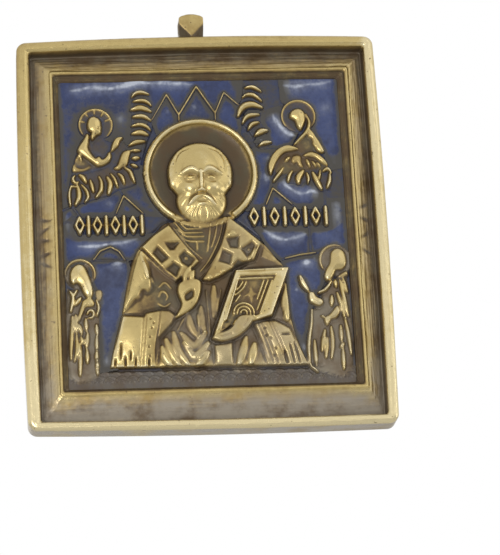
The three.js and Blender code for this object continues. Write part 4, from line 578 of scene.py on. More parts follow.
class Relief:
    """A map of heights over the picture's ground and of which piece each point belongs to."""

    def __init__(self, step, ground=0.0):
        self.step = step
        left, right, foot, top = FIELD
        self.x = np.linspace(left, right, int(round((right - left) / step)) + 1)
        self.y = np.linspace(foot, top, int(round((top - foot) / step)) + 1)
        self.level = LEVEL
        self.h = np.full((len(self.y), len(self.x)), ground)
        self.part = np.zeros(self.h.shape, int)
        self.names = ["picture_ground"]

    def window(self, points, margin):
        """The part of the map round some points, and its coordinates as drawn for the set level."""
        right, up = DRIFT_X * (LEVEL - self.level), DRIFT_Y * (LEVEL - self.level)
        p = np.asarray(points, float) + (right, up)
        i = np.searchsorted(self.x, [p[:, 0].min() - margin, p[:, 0].max() + margin])
        j = np.searchsorted(self.y, [p[:, 1].min() - margin, p[:, 1].max() + margin])
        return (slice(*j), slice(*i)), *np.meshgrid(self.x[slice(*i)] - right, self.y[slice(*j)] - up)

    def piece(self, name):
        """The number of a named piece."""
        if name not in self.names:
            self.names.append(name)
        return self.names.index(name)

    def within(self, *names):
        """Which points belong to the named pieces."""
        return np.isin(self.part, [self.piece(name) for name in names])

    def over(self, view, height, piece):
        """Lays a height over the map where it is the higher."""
        won = height > self.h[view]
        self.h[view] = np.where(won, height, self.h[view])
        if piece:
            self.part[view] = np.where(won & (height > 0.2), self.piece(piece), self.part[view])

    def mass(self, outline, top, edge, piece=None, crown=0.0, gap=0.0, round_to=1.1, lean=None, grow=0.0):
        """A mass with a round shoulder: top sqrt(1 - (1 - d/edge)^2) + crown (1 - exp(-d/round_to)).

        A lean of (slope, start) lets it fall by the slope below the start, and grow widens it all round.
        """
        view, X, Y = self.window(outline, 1.0)
        if X.size == 0:
            return
        d = inside(X, Y, outline) + grow
        if gap:
            self.h[view] -= gap * np.exp(-(np.minimum(d, 0) / 0.3) ** 2) * (d < 0)
        s = np.clip(d / edge, 0, 1)
        swell = crown * (1 - np.exp(-np.maximum(d, 0) / round_to))
        if round_to > 1:
            swell = blurred(swell, 0.5, self.step)
        z = top * np.sqrt(1 - (1 - s) ** 2) + swell
        if lean:
            z = z - lean[0] * np.clip(lean[1] - Y, 0, None)
        self.over(view, np.where(d > 0, z, BELOW), piece)

    def hollow(self, outline, depth, edge):
        """A sunk field with slanting sides."""
        view, X, Y = self.window(outline, 0.2)
        self.h[view] -= depth * np.clip(inside(X, Y, outline) / edge, 0, 1)

    def round_line(self, line, width, swell):
        """Part of the map round a line, 1 - (d/half)^2 there, and how far the line has waned.

        It wanes by swell (2 t - 1)^2, with t from 0 to 1 along it: half = width/2 (1 - wane).
        """
        view, X, Y = self.window(line, width)
        d, t = to_line(X, Y, line)
        wane = swell * (2 * t - 1) ** 2
        half = width / 2 * (1 - wane)
        return view, np.clip(1 - (d / half) ** 2, 0, 1), wane

    def stroke(self, line, width, rise, swell=0.6, piece=None):
        """Adds a line: rise (1 - (d/half)^2)^0.7, lower to its ends."""
        view, c, wane = self.round_line(line, width, swell)
        self.h[view] += rise * (1 - 0.45 * wane) * c**0.7
        if piece:
            self.part[view] = np.where(c > 0.05, self.piece(piece), self.part[view])

    def ridge(self, line, width, top, piece=None, swell=0.6, base=0.0):
        """Lays a line over the map: base + (top - base) (1 - (d/half)^2)^0.55, lower to its ends."""
        view, c, wane = self.round_line(line, width, swell)
        self.over(view, np.where(c > 0, base + (top - base) * (1 - 0.3 * wane) * c**0.55, BELOW), piece)

    def dome(self, x, y, rx, ry, tilt, top, base=0.0, piece=None, power=0.5, add=False):
        """An oval dome: base + (top - base) (1 - r^2)^power, r in shares of its half axes."""
        reach = max(rx, ry)
        view, X, Y = self.window([(x - reach, y - reach), (x + reach, y + reach)], 0.1)
        if X.size == 0:
            return
        u = (X - x) * math.cos(tilt) + (Y - y) * math.sin(tilt)
        v = -(X - x) * math.sin(tilt) + (Y - y) * math.cos(tilt)
        c = np.clip(1 - (u / rx) ** 2 - (v / ry) ** 2, 0, 1)
        if add:
            self.h[view] += top * c**power
        else:
            self.over(view, np.where(c > 0, base + (top - base) * c**power, BELOW), piece)


def lay_halo(m, sizes):
    """Main halo: a hollowed dish in a round bevelled rim, open at the shoulders."""
    x, y = HALO_PLACE
    r, w = sizes.halo_radius, sizes.halo_rim
    m.level = 1.45
    view, X, Y = m.window([(x - r, y - r), (x + r, y + r)], 0.2)
    d = np.hypot(X - x, Y - y)
    t = np.clip((d - r + 3.0 * w) / (2.3 * w), 0, 1)
    dish = 0.62 + 0.62 * t**2.2
    m.over(view, np.where(d < r - 0.05, dish, BELOW), "main_halo")
    line = ring_arc(x, y, r - 0.7 * w, -0.5 + 0.195, 1.5 - 0.19, 60)
    m.ridge(line, 1.4 * w, 1.55, "main_halo", swell=0.0)


def lay_head(m, sizes):
    """Main head, on the usual halves and thirds of a head, with a high brow and a short round beard."""
    x, y = HEAD_PLACE
    k = sizes.head_scale
    name = "main_head"
    m.level = 2.2

    def dome(a, b, rx, ry, tilt, top, *rest, **more):
        m.dome(x + k * a, y + k * b, k * rx, k * ry, tilt, top, *rest, **more)

    def line(points, width, rise, swell=0.5):
        points = [(x + k * a, y + k * b) for a, b in points]
        m.stroke(path(points), k * width, rise, swell)

    # hair round the skull, the ears, then the face before them
    dome(0, 1.15, 4.4, 4.45, 0, 2.15, 0.6, name, 0.3)
    for side in (-1, 1):
        dome(side * 3.8, 0.0, 0.55, 1.15, -0.1 * side, 1.6, 0.5, name)
    dome(0, -2.7, 3.45, 3.3, 0, 2.15, 0.5, name, 0.42)
    dome(0, 0.9, 3.35, 4.35, 0, 2.6, 0.5, name, 0.4)
    for side in (-1, 1):
        at = functools.partial(mirrored, side)
        line(at((1.2, 4.7), (2.6, 4.1), (3.3, 2.8), (3.4, 1.2)), 0.26, -0.2)
        for a, b in ((4.0, 2.2), (3.8, 3.2), (3.3, 4.1), (2.5, 4.9)):
            line([(side * 0.88 * a, 0.88 * b), (side * a, b)], 0.2, -0.12)
        # socket, brow, lids and cheek
        dome(side * 1.4, 0.35, 1.25, 0.9, 0, -0.45, power=1.2, add=True)
        line(at((0.35, 1.0), (1.3, 1.55), (2.8, 0.9)), 0.8, 0.26)
        dome(side * 1.38, 0.28, 0.8, 0.46, 0, 0.36, power=0.9, add=True)
        line(at((0.7, 0.3), (1.38, 0.7), (2.1, 0.28)), 0.22, -0.12, 0.4)
        line(at((0.7, 0.3), (1.38, 0.0), (2.1, 0.28)), 0.22, -0.15, 0.4)
        dome(side * 1.9, -1.25, 1.25, 1.0, 0, 0.3, power=1.2, add=True)
        line(at((0.62, -1.9), (1.45, -2.5), (1.9, -3.3)), 0.32, -0.24)
        # nose wings, moustache and beard
        dome(side * 0.42, -1.62, 0.34, 0.3, 0, 0.4, power=0.8, add=True)
        line(at((0.08, -2.15), (0.95, -2.55), (1.8, -3.4)), 0.66, 0.36)
        for a, b in ((0.35, -5.7), (1.05, -5.5), (1.75, -5.1), (2.4, -4.5)):
            line(at((0.55 * a + 0.1, -3.75), (0.9 * a + 0.25, -4.7), (a, b)), 0.24, -0.13)
        for a, b in ((2.75, -3.6), (3.0, -2.7)):
            line(at((a - 0.7, b + 0.9), (a, b)), 0.22, -0.1)
    line([(0, 1.1), (0, -1.5)], 0.66, 0.42, 0.1)
    dome(0, -1.55, 0.5, 0.42, 0, 0.3, power=0.8, add=True)
    line([(-0.75, -3.0), (0.75, -3.0)], 0.2, -0.22)
    dome(0, -3.35, 0.6, 0.26, 0, 0.2, power=0.8, add=True)


def lay_robe(m):
    """Vestments of the main figure and its cross bands."""
    robe = "main_robe"
    m.level = 1.4
    m.mass(curve(ROBE, 4, True), 1.0, 0.35, robe, gap=0.25)
    for line in COLLAR:
        m.stroke(path(line, 4), 0.34, 0.3, 0.3, robe)
    m.mass(curve(LEAF_SLEEVE, 4, True), 1.15, 0.6, robe, crown=0.75, gap=0.2)
    m.mass(SHOULDER, 1.1, 0.3, robe, crown=0.35)
    m.mass(curve(SIDE_LEAF, 3, True), 1.05, 0.3, robe, crown=0.4)
    for outline in (LEFT_BAND, RIGHT_BAND):
        m.mass(outline, 1.35, 0.35, robe, gap=0.2, crown=0.25)
    for squares, scale in ((LEFT_SQUARES, 1.24), (RIGHT_SQUARES, 1.4)):
        for square in map(np.array, squares):
            m.hollow(square.mean(0) + scale * (square - square.mean(0)), 0.55, 0.5)
    for x, y, r in BAND_STUDS:
        m.dome(x, y, r, r, 0, 0.24, power=0.9, add=True)
    for line in BAND_EDGES:
        m.stroke(line, 0.3, 0.16, 0.2)
    for k in range(3):
        m.stroke([(8.3 - 0.55 * k, -2.2 - 0.1 * k), (7.3 - 0.55 * k, -4.7 - 0.1 * k)], 0.28, 0.25, 0.3)
    for line in FOLDS:
        m.stroke(curve(line), 3.0, 0.1, 0.3, robe)
        m.stroke(curve(line), 1.4, 0.42, 0.45, robe)
    for line in THIN_FOLDS:
        m.stroke(curve(line), 0.46, 0.26, 0.4, robe)
    m.mass(LAP, 1.35, 0.4, robe, crown=0.35, gap=0.2, lean=(0.12, -18.0))
    for outline in (LEFT_CUFF, RIGHT_CUFF):
        m.mass(outline, 1.3, 0.5, robe, crown=0.75, gap=0.25, round_to=2.0, lean=(0.09, -14.5))
    for line in CUFF_LINES:
        m.stroke(curve(line), 0.26, -0.24, 0.2)
    for line in CUFF_NOTCHES:
        m.stroke(line, 0.3, -0.45, 0.4)
    for x, y in CUFF_DOTS:
        m.dome(x, y, 0.2, 0.2, 0, -0.28, power=0.8, add=True)


def lay_book(m):
    """Book of the main figure."""
    m.level = 1.6
    m.mass(BOOK, 1.75, 0.22, "book", gap=0.3)
    m.hollow(BOOK_PANEL, 0.3, 0.16)
    m.hollow(BOOK_CORNER, 0.3, 0.16)
    m.stroke([(4.2, -6.45), (10.9, -6.3)], 0.2, -0.2, 0.1)
    m.stroke([(3.9, -6.6), (0.5, -15.8)], 0.2, -0.2, 0.1)
    m.mass(BOOK_STAR, 1.6, 0.3, "book")
    for line in BOOK_LINES:
        m.stroke(path(line), 0.34, 0.4, 0.3)
    for r in BOOK_ARCHES:
        m.stroke(ring_arc(*BOOK_ARCH_PLACE, r, -0.1, 1.05), 0.32, 0.38, 0.1)


def lay_hands(m):
    """Blessing hand and the hand that holds the book."""
    m.level = 1.9
    m.mass(curve(PALM, 4, True), 1.5, 0.4, "blessing_hand", crown=0.5, gap=0.12)
    m.hollow(curve(PALM_HOLLOW, 3, True), 0.55, 0.4)
    for line in FINGERS:
        m.ridge(curve(line), 1.2, 1.75, "blessing_hand", base=1.0)
    m.mass(curve(HOLDING_HAND, 4, True), 1.8, 0.35, "holding_hand", crown=0.4, gap=0.1, grow=0.08)
    for line in HOLDING_FINGERS:
        m.stroke(line, 0.24, -0.16, 0.3)


def lay_side_figures(m):
    """Standing figures at both sides and half-figures above, each with its halo."""
    m.level = 1.0
    for name, figure in STANDING.items():
        x, y, r, start, end = figure["halo"]
        m.mass(ring_arc(x, y, r, 0, 2, 40), 0.7, 0.3, name)
        m.ridge(ring_arc(x, y, r - 0.2, start, end), 0.7, 1.0, name, swell=0.3)
        m.mass(curve(figure["body"], 3, True), 0.62, 0.8, name, crown=0.15)
        for line in figure["folds"]:
            m.stroke(path(line), 0.82, 0.58, 0.45, name)
        lay_forms(m, figure, name)
    for name, figure in UPPER.items():
        x, y, r = figure["halo"]
        m.mass(ring_arc(x, y, r, 0, 2, 40), 0.75, 0.3, name)
        m.ridge(ring_arc(x, y, r - 0.22, -0.25, 1.2), 0.66, 1.0, name, swell=0.3)
        m.mass(curve(figure["body"], 3, True), 0.68, 0.4, name, crown=0.1)
        lay_forms(m, figure, name)
    # rays in the halo at the upper left, and a small hollow in the head
    x, y, _ = UPPER["left_upper_figure"]["halo"]
    for k in range(5):
        t = math.pi * (0.12 + 0.2 * k)
        m.stroke([(x + r * math.cos(t), y + r * math.sin(t)) for r in (1.5, 2.3)], 0.3, 0.25, 0.3)
    m.hollow(ring_arc(-14.75, 15.6, 0.2, 0, 2, 12), 0.35, 0.15)


def lay_forms(m, figure, name):
    """Full round masses and lines of a small figure."""
    for outline, top, crown in figure["masses"]:
        m.mass(curve(outline, 4, True), top, 0.34, name, crown=0.9 * crown, gap=0.08, round_to=0.7, grow=0.16)
    for line, width in figure["lines"]:
        m.ridge(path(line), width + 0.2, 1.35, name, swell=0.4, base=0.4)


def lay_lands(m, sizes):
    """Cloud ladders, lines between the cells, ornament rows and the lands without enamel."""
    m.level = 0.6
    for outline in BARE_LANDS:
        m.mass(curve(outline, 3, True), 0.4, 0.5, grow=0.9)
    for name, ladder in LADDERS.items():
        m.mass(curve(ladder["body"], 3, True), 0.6, 0.3, name)
        for pocket in ladder["pockets"]:
            m.hollow(curve(CELLS[pocket], 3, True), 0.5, 0.15)
        for line, width in ladder["arcs"]:
            m.ridge(path(line), width + 0.42, 1.35, name, base=0.3, swell=0.55)
    for line in CELL_LINES:
        m.ridge(line, sizes.cell_line, 0.9, "cell_lines", swell=0.15)
    for line in FAINT_LINES:
        m.ridge(line, sizes.cell_line, 0.6, "cell_lines", swell=0.1)
    for bed in ORNAMENT_BEDS:
        m.mass(curve(bed, 3, True), 0.4, 0.5, "ornament_rows", grow=0.35)
    for x, y, pitch in ORNAMENT_ROWS:
        for k in range(ORNAMENTS):
            a = x + k * pitch * sizes.ornament_pitch
            if k % 2:
                m.ridge([(a, y - 1.3), (a, y + 1.3)], 0.92, 1.4, "ornament_rows", swell=0.15, base=0.3)
            else:
                lozenge = [(a, y - 1.2), (a + 0.56, y), (a, y + 1.2), (a - 0.56, y), (a, y - 1.2)]
                m.ridge(lozenge, 0.66, 1.35, "ornament_rows", swell=0.0, base=0.3)
    m.mass(FOOT_LAND, 0.4, 0.25)
    for k in range(FOOT_ARCHES):
        x = FOOT_ARCH_X + FOOT_ARCH_PITCH * k
        m.stroke(ring_arc(x, FOOT_ARCH_Y, 0.85, 0.05, 0.95), 0.26, 0.2, 0.3)
        m.stroke(ring_arc(x, FOOT_ARCH_Y, 0.4, 0.05, 0.95), 0.24, 0.18, 0.3)
        m.stroke(ring_arc(x + 0.78, FOOT_ARCH_Y + 1.0, 0.6, 0.1, 0.9), 0.24, 0.16, 0.3)


@functools.lru_cache(maxsize=1)
def picture(sizes):
    """The whole relief, softened as a worn casting is."""
    m = Relief(sizes.grid_step, LAND)
    lay_lands(m, sizes)
    lay_halo(m, sizes)
    lay_side_figures(m)
    lay_robe(m)
    lay_book(m)
    lay_hands(m)
    lay_head(m, sizes)
    m.h = np.maximum(m.h, -0.05)
    m.h = blurred(m.h, sizes.softness, m.step)
    m.h += 0.003 * grain(m.h.shape, 0.25, m.step, 3) + 0.018 * grain(m.h.shape, 0.9, m.step, 5)
    return m


def relief(scene):
    """The picture's map for the sizes that are set."""
    return picture(Drawn(*(getattr(scene.icon_sizes, name) for name in Drawn._fields)))


def enamel_level(m, scene):
    """Height of the enamel, how near metal is, and how strong the painted highlight along the swells is.

    The height is level + 0.3 max(metal - 0.08, 0)^1.5 + waves + 0.15 swells.
    """
    s = scene.icon_sizes
    metal = blurred((m.h > s.enamel_depth + 0.05).astype(float), 0.5, m.step)
    h = s.enamel_depth - 0.06 + 0.3 * np.clip(metal - 0.08, 0, 1) ** 1.5
    h += 0.012 * grain(m.h.shape, 0.55, m.step, 11) + 0.03 * grain(m.h.shape, 1.6, m.step, 13)
    swells = Relief(m.step)
    swells.level = 0.5
    for line, width, rise in ENAMEL_SWELLS:
        swells.stroke(path(line), 1.15 * width, rise, 0.6)
    # the crest mark is a painted highlight, sharp and soft, laid along the swells where light would glint
    sharp, soft = (blurred(swells.h, sigma, m.step) for sigma in (0.1, 0.6))
    crest = np.clip(0.85 * sharp**2 + 0.85 * soft, 0, 1.3)
    return h + 0.15 * blurred(swells.h, 0.3, m.step), metal, crest


# Meshes


def body(name, corners, faces, marks=None, normals=None):
    """A mesh object from corners in metres and quads, with point marks and corner normals."""
    mesh = bpy.data.meshes.new(name)
    faces = np.ascontiguousarray(faces, dtype=np.int32)
    sides = faces.shape[1]
    mesh.vertices.add(len(corners))
    mesh.vertices.foreach_set("co", np.ascontiguousarray(corners, dtype=np.float32).ravel())
    mesh.loops.add(faces.size)
    mesh.loops.foreach_set("vertex_index", faces.ravel())
    mesh.polygons.add(len(faces))
    mesh.polygons.foreach_set("loop_start", np.arange(0, faces.size, sides, dtype=np.int32))
    mesh.update(calc_edges=True)
    mesh.polygons.foreach_set("use_smooth", np.ones(len(faces), bool))
    for key, values in (marks or {}).items():
        mark = mesh.attributes.new(key, "FLOAT", "POINT")
        mark.data.foreach_set("value", np.ascontiguousarray(values, dtype=np.float32))
    uv = mesh.uv_layers.new(name="UVMap")
    flat = np.asarray(corners)[faces.ravel()]
    uv.data.foreach_set("uv", np.ascontiguousarray(flat[:, [0, 2]] * 20, dtype=np.float32).ravel())
    if normals is not None:
        mesh.normals_split_custom_set(normals)
    obj = bpy.data.objects.new(name, mesh)
    bpy.context.scene.collection.objects.link(obj)
    return obj


def to_row(x, y, h):
    """Places in the row frame, in metres, from the drawing frame in millimetres over the ground."""
    return np.stack([x + AXIS_X, HALF_THICKNESS - GROUND - h, y - AXIS_Z], -1) * MM


def without_corners(mask):
    """Fills cells until no two cells of the mask touch only at a corner."""
    while True:
        a, b, c, d = mask[:-1, :-1], mask[:-1, 1:], mask[1:, :-1], mask[1:, 1:]
        first, second = a & d & ~b & ~c, b & c & ~a & ~d
        if not first.any() and not second.any():
            return mask
        mask[:-1, 1:] |= first
        mask[:-1, :-1] |= second


def parted(labels):
    """Cell labels changed until no label touches itself only at a corner."""
    for _ in range(60):
        a, b, c, d = labels[:-1, :-1], labels[:-1, 1:], labels[1:, :-1], labels[1:, 1:]
        first = (a == d) & (b != a) & (c != a)
        if first.any():
            labels[:-1, 1:] = np.where(first, a, b)
            continue
        second = (b == c) & (a != b) & (d != b)
        if not second.any():
            return labels
        labels[:-1, :-1] = np.where(second, b, a)
    raise RuntimeError("the pieces of the relief still touch at corners")


def from_drawing(x, y, h):
    """Row-frame places, in metres, of points of the drawn picture."""
    return to_row(DRAWN_WIDTH * x + DRAWN_X, DRAWN_HEIGHT * y + DRAWN_SLANT * x + DRAWN_Y, h)


def slab(name, x, y, top, floor, cells, marks):
    """A closed body over some cells of the grid: the map above, a flat floor below and walls between."""
    nx = top.shape[1]
    j, i = np.nonzero(cells)
    ring = np.stack([j * nx + i, j * nx + i + 1, (j + 1) * nx + i + 1, (j + 1) * nx + i], 1)
    used, faces = np.unique(ring, return_inverse=True)
    faces = faces.reshape(ring.shape)
    n = len(used)
    Y, X = np.divmod(used, nx)
    upper = from_drawing(x[X], y[Y], top.ravel()[used])
    lower = from_drawing(x[X], y[Y], np.full(n, floor))
    # walls stand on the edges that only one cell has
    edges = np.stack([faces, np.roll(faces, -1, 1)], -1).reshape(-1, 2)
    keys = edges[:, 0].astype(np.int64) * n + edges[:, 1]
    back = edges[:, 1].astype(np.int64) * n + edges[:, 0]
    rim = edges[~np.isin(keys, back)]
    walls = np.stack([rim[:, 1], rim[:, 0], rim[:, 0] + n, rim[:, 1] + n], 1)
    quads = np.vstack([faces, faces[:, ::-1] + n, walls])
    # smooth normals over the map, flat ones on the floor and the walls
    gy, gx = np.gradient(top, y[1] - y[0], x[1] - x[0])
    slope = np.stack([-gx.ravel()[used], -np.ones(n), -gy.ravel()[used]], 1)
    slope /= np.linalg.norm(slope, axis=1, keepdims=True)
    down = np.tile([0.0, 1.0, 0.0], (faces.size, 1))
    run = upper[rim[:, 1]] - upper[rim[:, 0]]
    side = np.stack([run[:, 2], np.zeros(len(rim)), -run[:, 0]], 1)
    side /= np.maximum(np.linalg.norm(side, axis=1, keepdims=True), 1e-12)
    normals = np.vstack([slope[faces.ravel()], down, np.repeat(side, 4, 0)])
    values = {k: np.concatenate([v.ravel()[used], v.ravel()[used]]) for k, v in marks.items()}
    return body(name, np.vstack([upper, lower]), quads, values, normals)


def border_section(s):
    """The border's section as (inset, level over the back), from the back round to the ground."""
    channel_end = s.rim_width + s.channel_width
    bead_end = channel_end + s.bead_width
    top = 2 * HALF_THICKNESS
    rows = [(0.3, 0.0), (0.08, 0.06), (0.0, 0.3)]
    rows += [(0.0, v) for v in np.linspace(0.6, top - s.rim_drop, 8)]
    rows += [(0.5 * s.rim_width * (1 + t), top - s.rim_drop * abs(t) ** 3)
             for t in np.linspace(-0.98, 0.98, 25)]
    rows += [(s.rim_width + 0.01, top - s.rim_drop - 0.15)]
    rows += [(s.rim_width + 0.05, 3.1), (s.rim_width + 0.1, 2.5), (s.rim_width + 0.16, 2.05)]
    rows += [(s.rim_width + 0.16 + v * (s.channel_width - 0.16), 1.9 + 0.72 * v**1.25)
             for v in np.linspace(0.05, 1, 22)]
    rows += [(channel_end + s.bead_width * v, 2.62 + 0.26 * math.sin(math.pi * v) ** 0.7 - 0.25 * v)
             for v in np.linspace(0.08, 1, 10)]
    rows += [(bead_end + v * s.ledge_width, 2.34 - 0.3 * v + 0.08 * math.sin(2.2 * math.tau * v) ** 2)
             for v in np.linspace(0.05, 0.92, 20)]
    inner = bead_end + s.ledge_width
    rows += [(inner - 0.1, 2.04), (inner - 0.02, 1.9), (inner + 0.04, 1.6), (inner + 0.06, 1.1)]
    return np.array(rows)


def border_outline(s, inset, spacing):
    """One ring of the border as an evenly spaced rounded rectangle whose sides bow out."""
    ends = (0, s.rim_width, s.rim_width + s.channel_width, s.rim_width + s.channel_width + s.bead_width)
    ends += (ends[-1] + s.ledge_width,)
    over = max(inset - ends[-1], 0)
    left, right, foot, top = (np.interp(inset, ends, (0, *BORDER_ENDS[side])) + over
                              for side in ("left", "right", "foot", "top"))
    hw, hh = s.plate_width / 2, s.plate_height / 2
    radius = max(s.corner_radius - inset, 0.35)
    nx, ny, nc = int(s.plate_width / spacing), int(s.plate_height / spacing), 14
    rows = []
    for k, (sx, sy) in enumerate(((1, 1), (-1, 1), (-1, -1), (1, -1))):
        t = np.linspace(k, k + 1, nc) * np.pi / 2
        x = hw - right - radius if sx > 0 else -hw + left + radius
        y = hh - top - radius if sy > 0 else -hh + foot + radius
        rows.append(np.stack([x + radius * np.cos(t), y + radius * np.sin(t)], 1))
    points = []
    for k, count in enumerate((nx, ny, nx, ny)):
        a, b = rows[k][-1], rows[(k + 1) % 4][0]
        points += [rows[k], a + (b - a) * np.linspace(0, 1, count)[1:-1, None]]
    p = np.vstack(points)
    hw, hh = np.abs(p).max(0)
    bow = max(1 - inset / (s.rim_width + s.channel_width), 0)
    end = np.where(p[:, 1] > 0, s.top_bow, s.foot_bow)
    x = p[:, 0] + s.side_bow * bow * (1 - (p[:, 1] / hh) ** 2) * p[:, 0] / hw
    slant = np.where(p[:, 1] > 0, s.top_slant, s.foot_slant) / 2 * p[:, 0] / hw
    y = p[:, 1] + bow * (end * (1 - (p[:, 0] / hw) ** 2) + slant) * p[:, 1] / hh
    shift = min(inset / s.rim_width, 1)
    return np.stack([x + s.shift_across * shift, y + s.shift_up * shift], 1)


def skin(name, rings, marks=None):
    """A closed skin over rings of equally many points, its ends closed by fans."""
    count, n = rings.shape[:2]
    points = rings.reshape(-1, 3)
    i = np.arange(n)
    j = (i + 1) % n
    base = (np.arange(count - 1) * n)[:, None]
    faces = np.stack([base + i, base + j, base + j + n, base + i + n], -1).reshape(-1, 4)
    hubs = np.stack([rings[0].mean(0), rings[-1].mean(0)])
    top = (count - 1) * n
    first = np.stack([j, i, np.full(n, len(points))], 1)
    last = np.stack([top + i, top + j, np.full(n, len(points) + 1)], 1)
    mesh = bpy.data.meshes.new(name)
    corners = np.vstack([points, hubs])
    mesh.from_pydata(corners.tolist(), [], faces.tolist() + first.tolist() + last.tolist())
    mesh.update()
    mesh.polygons.foreach_set("use_smooth", np.ones(len(mesh.polygons), bool))
    for key, values in (marks or {}).items():
        mark = mesh.attributes.new(key, "FLOAT", "POINT")
        ends = [values[0].mean(), values[-1].mean()]
        mark.data.foreach_set("value", np.concatenate([values.ravel(), ends]).astype(np.float32))
    uv = mesh.uv_layers.new(name="UVMap")
    order = np.empty(len(mesh.loops), np.int32)
    mesh.loops.foreach_get("vertex_index", order)
    uv.data.foreach_set("uv", (corners[order][:, [0, 2]] * 20).astype(np.float32).ravel())
    obj = bpy.data.objects.new(name, mesh)
    bpy.context.scene.collection.objects.link(obj)
    return obj


# Materials


def new_material(name):
    """An empty node material and its shader and output."""
    material = bpy.data.materials.new(name)
    material.use_nodes = True
    nodes = material.node_tree.nodes
    nodes.clear()
    out = nodes.new("ShaderNodeOutputMaterial")
    shader = nodes.new("ShaderNodeBsdfPrincipled")
    material.node_tree.links.new(shader.outputs["BSDF"], out.inputs["Surface"])
    return material, shader


def group_of(name, inputs, outputs):
    """A node group with sockets of its own, and its input and output nodes."""
    tree = bpy.data.node_groups.new(name, "ShaderNodeTree")
    for label, kind in inputs:
        tree.interface.new_socket(label, in_out="INPUT", socket_type=kind)
    for label, kind in outputs:
        tree.interface.new_socket(label, in_out="OUTPUT", socket_type=kind)
    return tree, tree.nodes.new("NodeGroupInput"), tree.nodes.new("NodeGroupOutput")


def math_node(tree, kind, a, b=None, clamp=False):
    """A math node fed by sockets or numbers."""
    node = tree.nodes.new("ShaderNodeMath")
    node.operation = kind
    node.use_clamp = clamp
    for socket, value in zip(node.inputs, (a, b)):
        if isinstance(value, bpy.types.NodeSocket):
            tree.links.new(value, socket)
        elif value is not None:
            socket.default_value = value
    return node.outputs[0]


def mix_node(tree, factor, a, b):
    """A colour mix fed by sockets or colours."""
    node = tree.nodes.new("ShaderNodeMix")
    node.data_type = "RGBA"
    for socket, value in ((node.inputs["Factor"], factor), (node.inputs[6], a), (node.inputs[7], b)):
        if isinstance(value, bpy.types.NodeSocket):
            tree.links.new(value, socket)
        else:
            socket.default_value = value
    return node.outputs[2]


def arithmetic(tree):
    """Adding, subtracting and multiplying as nodes of a tree."""
    return (functools.partial(math_node, tree, kind) for kind in ("ADD", "SUBTRACT", "MULTIPLY"))


def noise_node(tree, vector, scale, detail=4.0, roughness=0.55, distortion=0.0):
    """A noise texture on a vector."""
    node = tree.nodes.new("ShaderNodeTexNoise")
    node.inputs["Scale"].default_value = scale
    node.inputs["Detail"].default_value = detail
    node.inputs["Roughness"].default_value = roughness
    node.inputs["Distortion"].default_value = distortion
    tree.links.new(vector, node.inputs["Vector"])
    return node.outputs["Fac"]


def ramp(tree, value, low, high):
    """A value spread from low..high to 0..1 with soft ends."""
    node = tree.nodes.new("ShaderNodeMapRange")
    node.interpolation_type = "SMOOTHSTEP"
    node.inputs["From Min"].default_value = low
    node.inputs["From Max"].default_value = high
    tree.links.new(value, node.inputs["Value"])
    return node.outputs["Result"]


def brass_group(c):
    """Worn brass: patina in the hollows, painted shade in the sharpest ones, dull brass on the flats, bright
    brass on the high points and the palest brass as painted highlight.
    """
    tree, source, out = group_of("Worn brass",
                                 [("Polish", "NodeSocketFloat"), ("Dust", "NodeSocketFloat"),
                                  ("Grime", "NodeSocketFloat"), ("Crevice", "NodeSocketFloat")],
                                 [("Color", "NodeSocketColor"), ("Roughness", "NodeSocketFloat"),
                                  ("Metallic", "NodeSocketFloat"), ("Height", "NodeSocketFloat")])
    add, less, times = arithmetic(tree)
    place = tree.nodes.new("ShaderNodeTexCoord").outputs["Object"]
    broad = noise_node(tree, place, 260, 5, 0.6)
    fine = noise_node(tree, place, 1400, 5, 0.65)
    speck = noise_node(tree, place, 4200, 3, 0.6)
    drift = add(times(less(broad, 0.5), 0.6), times(less(fine, 0.5), 0.45))
    # the polish mark holds both real wear and painted light
    polish = add(source.outputs["Polish"], drift)
    low = mix_node(tree, ramp(tree, broad, 0.4, 0.65), tuple(c.patina), tuple(c.patina_green))
    mid = mix_node(tree, ramp(tree, polish, 0.18, 0.55), low, tuple(c.dull_brass))
    colour = mix_node(tree, ramp(tree, polish, 0.5, 0.9), mid, tuple(c.bright_brass))
    # painted highlight: the palest brass, where the polish mark runs highest, on the most worn points and
    # where highlights are painted
    colour = mix_node(tree, ramp(tree, polish, 0.95, 1.4), colour, tuple(c.highlight_brass))
    pits = noise_node(tree, place, 1900, 1, 0.5)
    colour = mix_node(tree, times(ramp(tree, pits, 0.71, 0.77), 0.7), colour, tuple(c.patina))
    grime = times(source.outputs["Grime"], ramp(tree, fine, 0.1, 0.4), clamp=True)
    blend = add(times(broad, 0.55), times(fine, 0.45))
    soot = mix_node(tree, ramp(tree, blend, 0.36, 0.64), tuple(c.grime), tuple(c.grime_blue))
    # painted shade: the crevice mark darkens the hollows towards a dark brown
    colour = mix_node(tree, source.outputs["Crevice"], colour, tuple(c.crevice))
    colour = mix_node(tree, grime, colour, soot)
    # the dust mark lays a grey film, at the foot also used as a painted reflection
    dust = times(source.outputs["Dust"], ramp(tree, broad, 0.25, 0.6), clamp=True)
    tree.links.new(mix_node(tree, dust, colour, tuple(c.dust)), out.inputs["Color"])
    film = math_node(tree, "MAXIMUM", grime, dust)
    rough = less(0.56, times(ramp(tree, polish, 0.1, 0.95), 0.3))
    rough = add(rough, times(less(fine, 0.5), 0.1))
    tree.links.new(rough, out.inputs["Roughness"])
    metal = add(0.62, times(ramp(tree, polish, 0.0, 1.0), 0.25), clamp=True)
    tree.links.new(less(metal, times(film, 0.5), clamp=True), out.inputs["Metallic"])
    tree.links.new(add(times(fine, 0.6), times(speck, 0.4)), out.inputs["Height"])
    return tree


